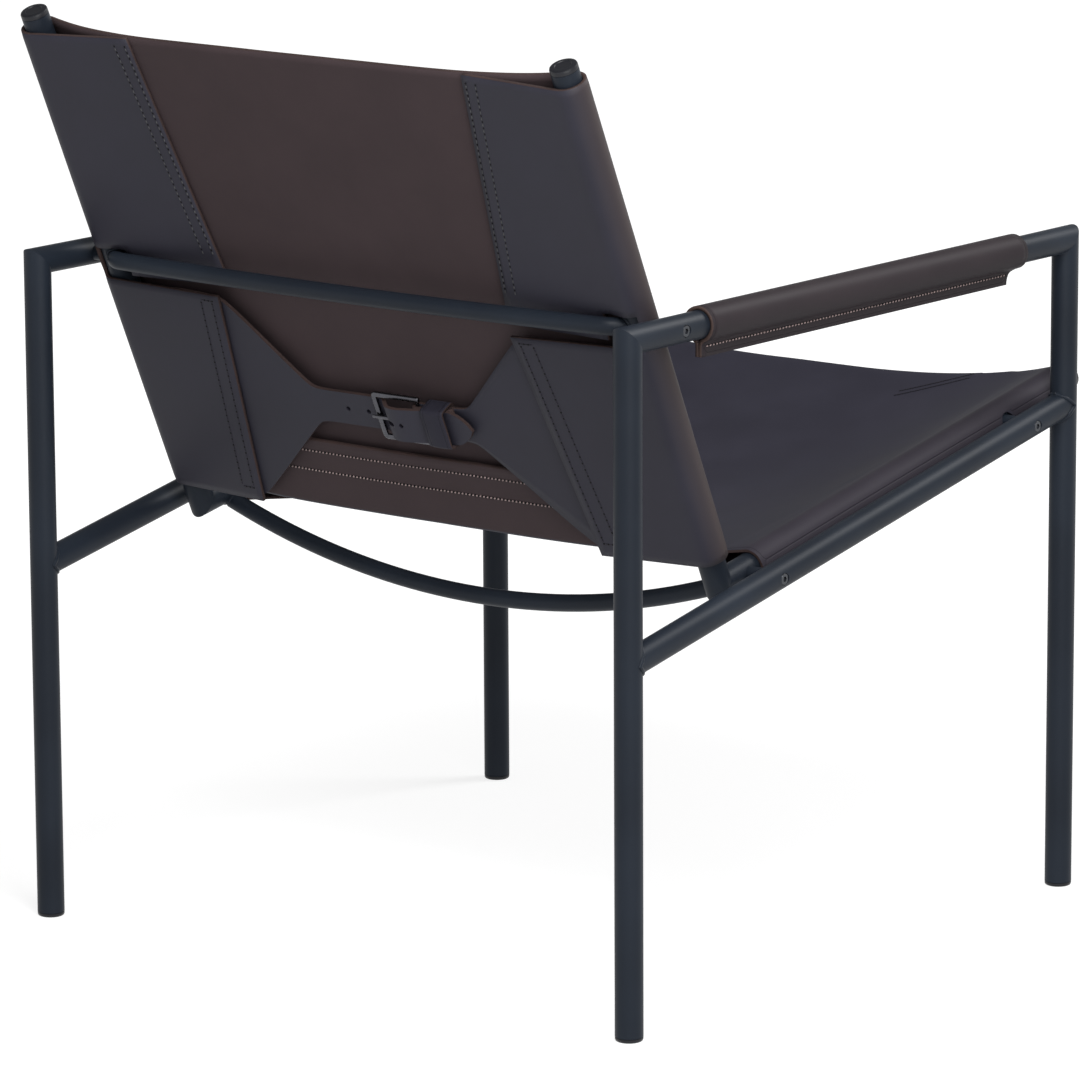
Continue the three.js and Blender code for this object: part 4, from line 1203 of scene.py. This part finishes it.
# Belts. Behind the back and under the seat a billet tab and a buckle tab, sewn under the flaps, draw the
# sides of the hide together: the billet passes under the end bar of the nickelled buckle, over its pin and
# through a keeper loop.
STRAP = 3.0
STRAP_HALF = 15.0
PIN_AT = 31.0
PIN_Y = 4.8
LIES_AT = STRAP / 2
TAB_FREE = 150.0
TAB_WIDE = 194.0
BELT_UP = 132.0
BELT_OFF = 15.5
SEAT_BELT_AT = 245.0
UNDER_FLAP = 3.55
KEEPER = 2.0
KEEPER_WIDE = 22.0
KEEPER_ROWS = 8
TIP_LONG = 20
PRONG_SIDES = 12
BELT_ROWS = [-1, -0.84, -0.68, -0.52, -0.36, -0.18, 0.0, 0.18, 0.36, 0.52, 0.68, 0.84, 1]

NICKEL_DARK = from_255(73, 73, 78)
NICKEL_LIGHT = from_255(89, 89, 94)
dark_nickel = plain_finish("dark nickel", 260.0, NICKEL_DARK, NICKEL_LIGHT, 0.2, 0.14, Metallic=1.0)


def eased(distance, room):
    """A distance past a corner, with the corner rounded."""
    return (distance + sqrt(distance * distance + room * room)) / 2


def tab_edges(x):
    """Where a tab's upper and lower edge lie at a distance from the strap's middle."""
    widened = eased(x - 79, 4)
    upper = STRAP_HALF + 1.056 * (widened - eased(x - TAB_FREE, 7))
    lower = STRAP_HALF + 0.957 * (widened - eased(x - 172, 7))
    return -upper, lower


def smooth_line(points, steps):
    """A smooth line through points, with so many steps between each two."""
    line = []
    for k in range(len(points) - 1):
        p0, p1, p2, p3 = (points[min(max(k + j, 0), len(points) - 1)] for j in (-1, 0, 1, 2))
        for step in range(steps):
            t = step / steps
            spot = []
            for a, b, c, d in zip(p0, p1, p2, p3):
                bend = (2 * a - 5 * b + 4 * c - d) * t * t + (3 * b - a - 3 * c + d) * t**3
                spot.append(b + 0.5 * ((c - a) * t + bend))
            line.append(tuple(spot))
    line.append(points[-1])
    return line


TAB_XS = [200.0 - 126.0 * k / 26 for k in range(27)]
BILLET_BENDS = [(-66, 1.5), (-44, 1.5), (-30, 1.5), (-14, 1.5), (-9, 1.6), (-5, 3.7), (0, 8.4), (4, 11.8)]
BILLET_BENDS += [(9, 13.4), (16, 13.7), (24, 12.7), (31, 11.7), (37, 10.4), (42, 9.0), (47, 8.4)]
BILLET_BENDS += [(54, 8.1), (66, 8.1), (84, 8.1)]
billet_run = smooth_line(BILLET_BENDS, 4)
fold_run = [(66.0 - 35.0 * k / 8, LIES_AT) for k in range(8)]
fold_run += [(PIN_AT - 3.3 * sin(pi * k / 12), PIN_Y - 3.3 * cos(pi * k / 12)) for k in range(12)]
fold_run += smooth_line([(PIN_AT, 8.1), (34, 7.9), (40, 5.4), (45, 4.8), (66, 4.8)], 4)


def belt(which, home, tab_level):
    """One belt. Home carries it to the chair from a place where X is toward its tip and Y off the sling."""

    def tab_spot(x, part):
        """Level and height of a tab's point: it lies under the flap, then comes off it to the strap."""
        upper, lower = tab_edges(x)
        z = upper + (lower - upper) * (part + 1) / 2
        level = tab_level(max(x, TAB_FREE), z)
        if x < TAB_FREE:
            share = (TAB_FREE - x) / (TAB_FREE - TAB_XS[-1])
            share = 0.5 * share + 0.5 * share * share * (3 - 2 * share)
            level += (LIES_AT - level) * share
        return level, z

    def leather_tab(kind, run, sign, tip_at):
        """A tab and what runs on from it: the strap up to its tip, or the fold round the buckle's pin."""
        line = [(x, None) for x in TAB_XS] + run
        rows = BELT_ROWS if sign > 0 else BELT_ROWS[::-1]
        path = lengths_along([(sign * x, LIES_AT) if y is None else (x, y) for x, y in line])

        def half_at(x):
            if tip_at is None or x < tip_at - TIP_LONG:
                return STRAP_HALF
            return STRAP_HALF * max(1 - ((x - tip_at + TIP_LONG) / TIP_LONG) ** 1.6, 0.0) ** 0.75

        def spot(column, row):
            x, y = line[column]
            part = rows[row]
            if y is None:
                y, z = tab_spot(x, part)
                x = x if sign > 0 else -x
            else:
                z = part * half_at(x)
            return home @ Vector((x, y, z))

        def flat(column, row):
            x, y = line[column]
            upper, lower = tab_edges(x) if y is None else (-STRAP_HALF, STRAP_HALF)
            part = rows[row]
            return path[column] / 1000, (upper + (lower - upper) * (part + 1) / 2) / 1000

        def edge(column, row):
            x, y = line[column]
            upper, lower = tab_edges(x) if y is None else (-half_at(x), half_at(x))
            return min((1 - abs(rows[row])) * (lower - upper) / 2, path[-1] - path[column])

        bm = new_hide()
        crossings = laid_grid(bm, len(line), len(rows), spot)
        note_cut(bm, crossings, flat, edge)
        if tip_at is None:
            slot = []
            for column in range(len(TAB_XS) + 8, len(TAB_XS) + 22):
                for row in (5, 6):
                    corners = [crossings[column + i, row + j] for i, j in ((0, 0), (1, 0), (1, 1), (0, 1))]
                    slot.append(bm.faces.get(corners))
            bmesh.ops.delete(bm, geom=slot, context="FACES")
        area = 0.0
        for a, b, (x, y) in zip(path, path[1:], line):
            upper, lower = tab_edges(x) if y is None else (-STRAP_HALF, STRAP_HALF)
            area += (b - a) * (lower - upper) / 1e6
        return hide_piece(
            bm,
            f"{which}-{kind}-tab",
            [grain, flesh, raw_edge],
            STRAP,
            flat=(path[-1] / 1000, TAB_WIDE / 1000),
            held="stretched",
            rests_on=[f"{which}-sling"],
            area=area,
        )

    billet = leather_tab("billet", billet_run, -1, 84.0)
    worked(billet)
    for at, longer in ((-46.5, 0.0), (-25.5, 0.0), (0.4, 6.5), (16.5, 0.0)):
        bm = bmesh.new()
        verts = rod(bm, Vector((at, -4, 0)), Vector((at, 22, 0)), 2.1, sides=20)
        for vert in verts:
            vert.co.x += longer if vert.co.x > at else -longer
        bmesh.ops.transform(bm, matrix=home, verts=bm.verts)
        drill(billet, bm, 60)
    leather_tab("buckle", fold_run, 1, None)

    bm = bmesh.new()
    outline = [(33.5, -22), (-11, -22), (-13.4, -21), (-14.6, -19), (-15, -17), (-15, 17), (-14.6, 19)]
    outline += [(-13.4, 21), (-11, 22), (33.5, 22), (33.5, 17.5)]
    outline += [(-10.5, 17.5), (-10.5, -17.5), (33.5, -17.5)]
    verts = [bm.verts.new((x, PIN_Y - 1.5, z)) for x, z in outline]
    face = bm.faces.new(verts)
    grown = bmesh.ops.extrude_face_region(bm, geom=[face])
    moved = [item for item in grown["geom"] if isinstance(item, bmesh.types.BMVert)]
    bmesh.ops.translate(bm, verts=moved, vec=(0, 3, 0))
    bmesh.ops.recalc_face_normals(bm, faces=bm.faces)
    rims = [edge for edge in bm.edges if edge.calc_face_angle(0) > 0.9]
    bmesh.ops.bevel(bm, geom=rims, offset=1.1, segments=3, profile=0.5, affect="EDGES", material=-1)
    rod(bm, Vector((PIN_AT, PIN_Y, -20)), Vector((PIN_AT, PIN_Y, 20)), 1.5, sides=20)
    bmesh.ops.transform(bm, matrix=home, verts=bm.verts)
    piece_from(bm, f"{which}-buckle-frame", [dark_nickel], f"{which}_buckle")

    bm = bmesh.new()
    shank = smooth_line([(31.0, 6.9), (20.0, 7.3), (6.0, 7.7), (-8.0, 7.9), (-17.5, 7.7)], 4)

    def prong_spot(column, row):
        x, y = shank[column]
        taper = between(column, 0, len(shank) - 1, 1.0, 0.72)
        turn = 2 * pi * row / PRONG_SIDES
        return Vector((x, y + 1.3 * taper * sin(turn), 2.0 * taper * cos(turn)))

    laid_grid(bm, len(shank), PRONG_SIDES + 1, prong_spot)
    bmesh.ops.remove_doubles(bm, verts=bm.verts, dist=1e-4)
    close_holes(bm)
    collar = [(1.85, -2), (3.1, -2), (3.3, -1.6), (3.3, 1.6), (3.1, 2), (1.85, 2), (1.85, -2)]
    ring = bmesh.new()
    turned_plug(ring, collar, Vector((PIN_AT, PIN_Y, 0)), UP)
    join(bm, ring)
    bmesh.ops.transform(bm, matrix=home, verts=bm.verts)
    piece_from(bm, f"{which}-buckle-prong", [dark_nickel], f"{which}_prong")

    loop = []
    for z, y, quarter in ((13.8, 10.9, 0), (-13.8, 10.9, 1), (-14.8, 1.5, 2), (14.8, 1.5, 3)):
        for k in range(6):
            turn = pi / 2 * (quarter + k / 5)
            loop.append((z + 2.8 * cos(turn), y + 2.8 * sin(turn)))
    loop.append(loop[0])
    loop.reverse()

    def keeper_spot(column, row):
        z, y = loop[column]
        part = row / KEEPER_ROWS
        swell = 0.8 * sin(pi * part) if y > 6 else 0.0
        return home @ Vector((40.0 + KEEPER_WIDE * part, y + swell, z))

    bm = new_hide()
    crossings = laid_grid(bm, len(loop), KEEPER_ROWS + 1, keeper_spot)
    run = lengths_along(loop)
    note_cut(
        bm,
        crossings,
        lambda column, row: (run[column] / 1000, KEEPER_WIDE * row / KEEPER_ROWS / 1000),
        lambda column, row: KEEPER_WIDE * min(row, KEEPER_ROWS - row) / KEEPER_ROWS,
    )
    bmesh.ops.remove_doubles(bm, verts=bm.verts, dist=1e-3)
    hide_piece(
        bm,
        f"{which}-keeper",
        [creased_shaded, flesh, raw_edge],
        KEEPER,
        body=f"{which}_loop",
        flat=(run[-1] / 1000, KEEPER_WIDE / 1000),
        held="folded",
        rests_on=[f"{which}-billet-tab"],
    )


SEAT_BELT_Y = -seat_sag(SEAT_BELT_AT) - HIDE / 2 - 2.6


def back_tab_level(x, z):
    """Level of a back tab's middle layer under its flap."""
    level = flap_face(back_half(BELT_UP - z), x)[0]
    return -level - UNDER_FLAP - BELT_OFF


def seat_tab_level(x, z):
    """Level of a seat tab's middle layer above its flap."""
    level = flap_face(seat_half(SEAT_BELT_AT + z), x)[0]
    return SEAT_BELT_Y - level - UNDER_FLAP - 0.6


back_home = Matrix((Vector((-1, 0, 0)), OFF_POST, -UP_POST)).transposed().to_4x4()
back_home.translation = on_back(0, BELT_OFF, BELT_UP)
belt("back", back_home, back_tab_level)
seat_home = Matrix((Vector((-1, 0, 0)), -OFF_RAIL, ALONG_RAIL)).transposed().to_4x4()
seat_home.translation = on_seat(0, SEAT_BELT_Y, SEAT_BELT_AT)
belt("seat", seat_home, seat_tab_level)

# Arm sleeves. A strip of thinner leather is folded round each arm tube with its grain side out and sewn
# to itself below the tube; the two layers hang as a flange, cut square at the rear and hollow at the front.
SLEEVE = 2.9
SLEEVE_REAR_Y = REAR_Y - 86.9
SLEEVE_LENGTH = 416.8
FLANGE_BELOW = 25.0
SLEEVE_HOLLOW = 14.0
SLEEVE_ROWS = 60
LEATHER_COLOURS = [from_255(51, 45, 48), from_255(43, 38, 41), GRAIN_BENT]
sleeve_grain = leather_finish("sleeve leather, grain side", *LEATHER_COLOURS, 1.0, False, 0.42, 0.08)
LEATHER_COLOURS = [from_255(76, 61, 57), from_255(60, 49, 46), EDGE_BENT]
sleeve_edge = leather_finish("sleeve leather, cut edge", *LEATHER_COLOURS, 0.0, True, 0.6, 0.15)

for name, side in SIDES:
    wrap = TUBE_RADIUS + 0.3 + SLEEVE / 2
    part_way = pi - 0.36
    section = []
    for k in range(7):
        section.append((SLEEVE / 2, -FLANGE_BELOW + 9.5 * k / 7))
    section += [(SLEEVE / 2 + 0.1, -15.0), (SLEEVE / 2 + 0.9, -13.6), (SLEEVE / 2 + 2.2, -12.6)]
    for k in range(33):
        turn = part_way - 2 * part_way * k / 32
        section.append((wrap * sin(turn), wrap * cos(turn)))
    section += [(-x, z) for x, z in section[9::-1]]
    run = lengths_along(section)

    def reach(column, row):
        """Distance from the rear edge; the front edge is hollowed out towards the flange's lower corner."""
        low = max(0.0, -FLANGE_BELOW + SLEEVE_HOLLOW - section[column][1])
        hollow = sqrt(SLEEVE_HOLLOW**2 - (SLEEVE_HOLLOW - low) ** 2) if low > 0 else 0.0
        return (SLEEVE_LENGTH - hollow) * row / SLEEVE_ROWS

    def sleeve_spot(column, row):
        x, z = section[column]
        return Vector((side * LEG_X + x, SLEEVE_REAR_Y - reach(column, row), ARM_Z + z))

    def sleeve_flat(column, row):
        return run[column] / 1000, reach(column, row) / 1000

    def sleeve_rim(column, row):
        ends = reach(column, row), reach(column, SLEEVE_ROWS - row)
        return min(*ends, run[column], run[-1] - run[column])

    bm = new_hide()
    crossings = laid_grid(bm, len(section), SLEEVE_ROWS + 1, sleeve_spot)
    note_cut(bm, crossings, sleeve_flat, sleeve_rim)
    hide_piece(
        bm,
        f"{name}-arm-sleeve",
        [sleeve_grain, flesh, sleeve_edge],
        SLEEVE,
        slot="sleeve_leather",
        flat=(run[-1] / 1000, SLEEVE_LENGTH / 1000),
        held="folded",
        rests_on=[f"{name}-arm-tube"],
    )
    bm = bmesh.new()
    for face in (-1, 1):
        spots = []
        for y in steps_of(SLEEVE_REAR_Y - 5, SLEEVE_REAR_Y - SLEEVE_LENGTH + 17):
            spot = Vector((side * LEG_X + face * SLEEVE, y, ARM_Z - FLANGE_BELOW + 8))
            spots.append((spot, Vector((face, 0, 0))))
        sew(bm, spots, pitch=4.0, thick=1.5, slant=0.35, drawn=0.28)
    stitched(bm, f"{name}-sleeve-stitches", linen_thread)

# Stage. A white floor, run up as a backdrop on all four sides, keeps the chair's faint shadow.
# Four soft lamps, a dim even surround and the floor's own dim glow light the chair: the key comes from above
# on its right.
floor_mesh = bpy.data.meshes.new("floor")
bm = bmesh.new()
sides = bmesh.ops.create_grid(bm, x_segments=1, y_segments=1, size=14)["verts"]
run_on(bm, sides, Vector((0, 0, 5)))
bm.to_mesh(floor_mesh)
bm.free()
white = (1.0, 1.0, 1.0, 1.0)
floor_values = {"Base_Color": (0.3, 0.3, 0.3, 1.0), "Roughness": 0.9}
floor_white, mix, shader = new_finish(
    "white floor", Specular_IOR_Level=0.0, Emission_Strength=1.0, **floor_values
)
floor_place = mix.node("ShaderNodeTexCoord", {}, {}, "Object")
away = mix.node("ShaderNodeVectorMath", {"operation": "LENGTH"}, {0: floor_place}, "Value")
# The floor glows: white to the camera and in reflections, 0.8 near the chair rising to white beyond 2.2 m so
# that the shadow shows there, and 0.2 towards the chair itself, a painted fill light from below.
glow = mix.blend(away.ramp(0.5, 2.2), (0.8, 0.8, 0.8, 1.0), white)
seen = mix.node("ShaderNodeLightPath", {}, {}, "Is Camera Ray")
mirrored = mix.node("ShaderNodeLightPath", {}, {}, "Is Glossy Ray")
through = mix.node("ShaderNodeLightPath", {}, {}, "Is Transmission Ray")
mix.feed(shader, Emission_Color=mix.blend(seen + mirrored + through, (0.2, 0.2, 0.2, 1.0), glow))
floor_mesh.materials.append(floor_white)
white_floor = bpy.data.objects.new("white floor", floor_mesh)
bpy.context.scene.collection.objects.link(white_floor)


def soft_lamp(name, place, target, wide, high, watts):
    """A large soft lamp that looks at a place on the chair."""
    data = bpy.data.lights.new(name, "AREA")
    data.shape = "RECTANGLE"
    data.size = wide
    data.size_y = high
    data.energy = watts
    lamp = bpy.data.objects.new(name, data)
    lamp.location = place
    lamp.rotation_euler = (Vector(target) - lamp.location).to_track_quat("-Z", "Y").to_euler()
    bpy.context.scene.collection.objects.link(lamp)
    return lamp


right_lamp = soft_lamp("right lamp", (-1.7, 1.25, 1.1), (-0.2, 0.15, 0.4), 1.0, 1.5, 22)
left_lamp = soft_lamp("left lamp", (0.3, 3.1, 1.3), (-0.1, 0.1, 0.45), 1.2, 1.8, 6)
high_lamp = soft_lamp("high lamp", (-1.3, 1.5, 2.9), (0, 0, 0.4), 1.4, 1.4, 78)
front_lamp = soft_lamp("front lamp", (-1.2, -2.3, 2.7), (-0.1, 0, 0.4), 1.3, 1.3, 60)
surround = bpy.data.worlds.new("surround")
surround.use_nodes = True
surround.node_tree.nodes["Background"].inputs["Color"].default_value = white
surround.node_tree.nodes["Background"].inputs["Strength"].default_value = 0.22
bpy.context.scene.world = surround
bpy.context.scene.view_settings.view_transform = "Standard"

# Camera. A long lens looks at the chair's back from its right rear corner, a little above the arms,
# as the photograph does. Its place is kept with the rear legs.
azimuth = radians(218.607)
elevation = radians(11.993)
roll = radians(-0.295)
to_eye = Vector((sin(azimuth) * cos(elevation), -cos(azimuth) * cos(elevation), sin(elevation)))
to_right = Vector((cos(azimuth), sin(azimuth), 0))
to_top = to_eye.cross(to_right)
camera_right = to_right * cos(roll) + to_top * sin(roll)
camera_top = to_top * cos(roll) - to_right * sin(roll)
eye = camera_right * -0.01366 + camera_top * 0.29422 + to_eye * 5.3963
eye.y += (REAR_Y - 288.6) / 1000
lens = bpy.data.cameras.new("camera")
lens.sensor_fit = "HORIZONTAL"
lens.sensor_width = 36
lens.lens = 36 * 6584.7 / 1083
lens.clip_end = 60
camera = bpy.data.objects.new("camera", lens)
turn = Matrix((camera_right, camera_top, to_eye)).transposed()
camera.matrix_world = Matrix.LocRotScale(eye, turn.to_quaternion(), None)
bpy.context.scene.collection.objects.link(camera)
bpy.context.scene.camera = camera
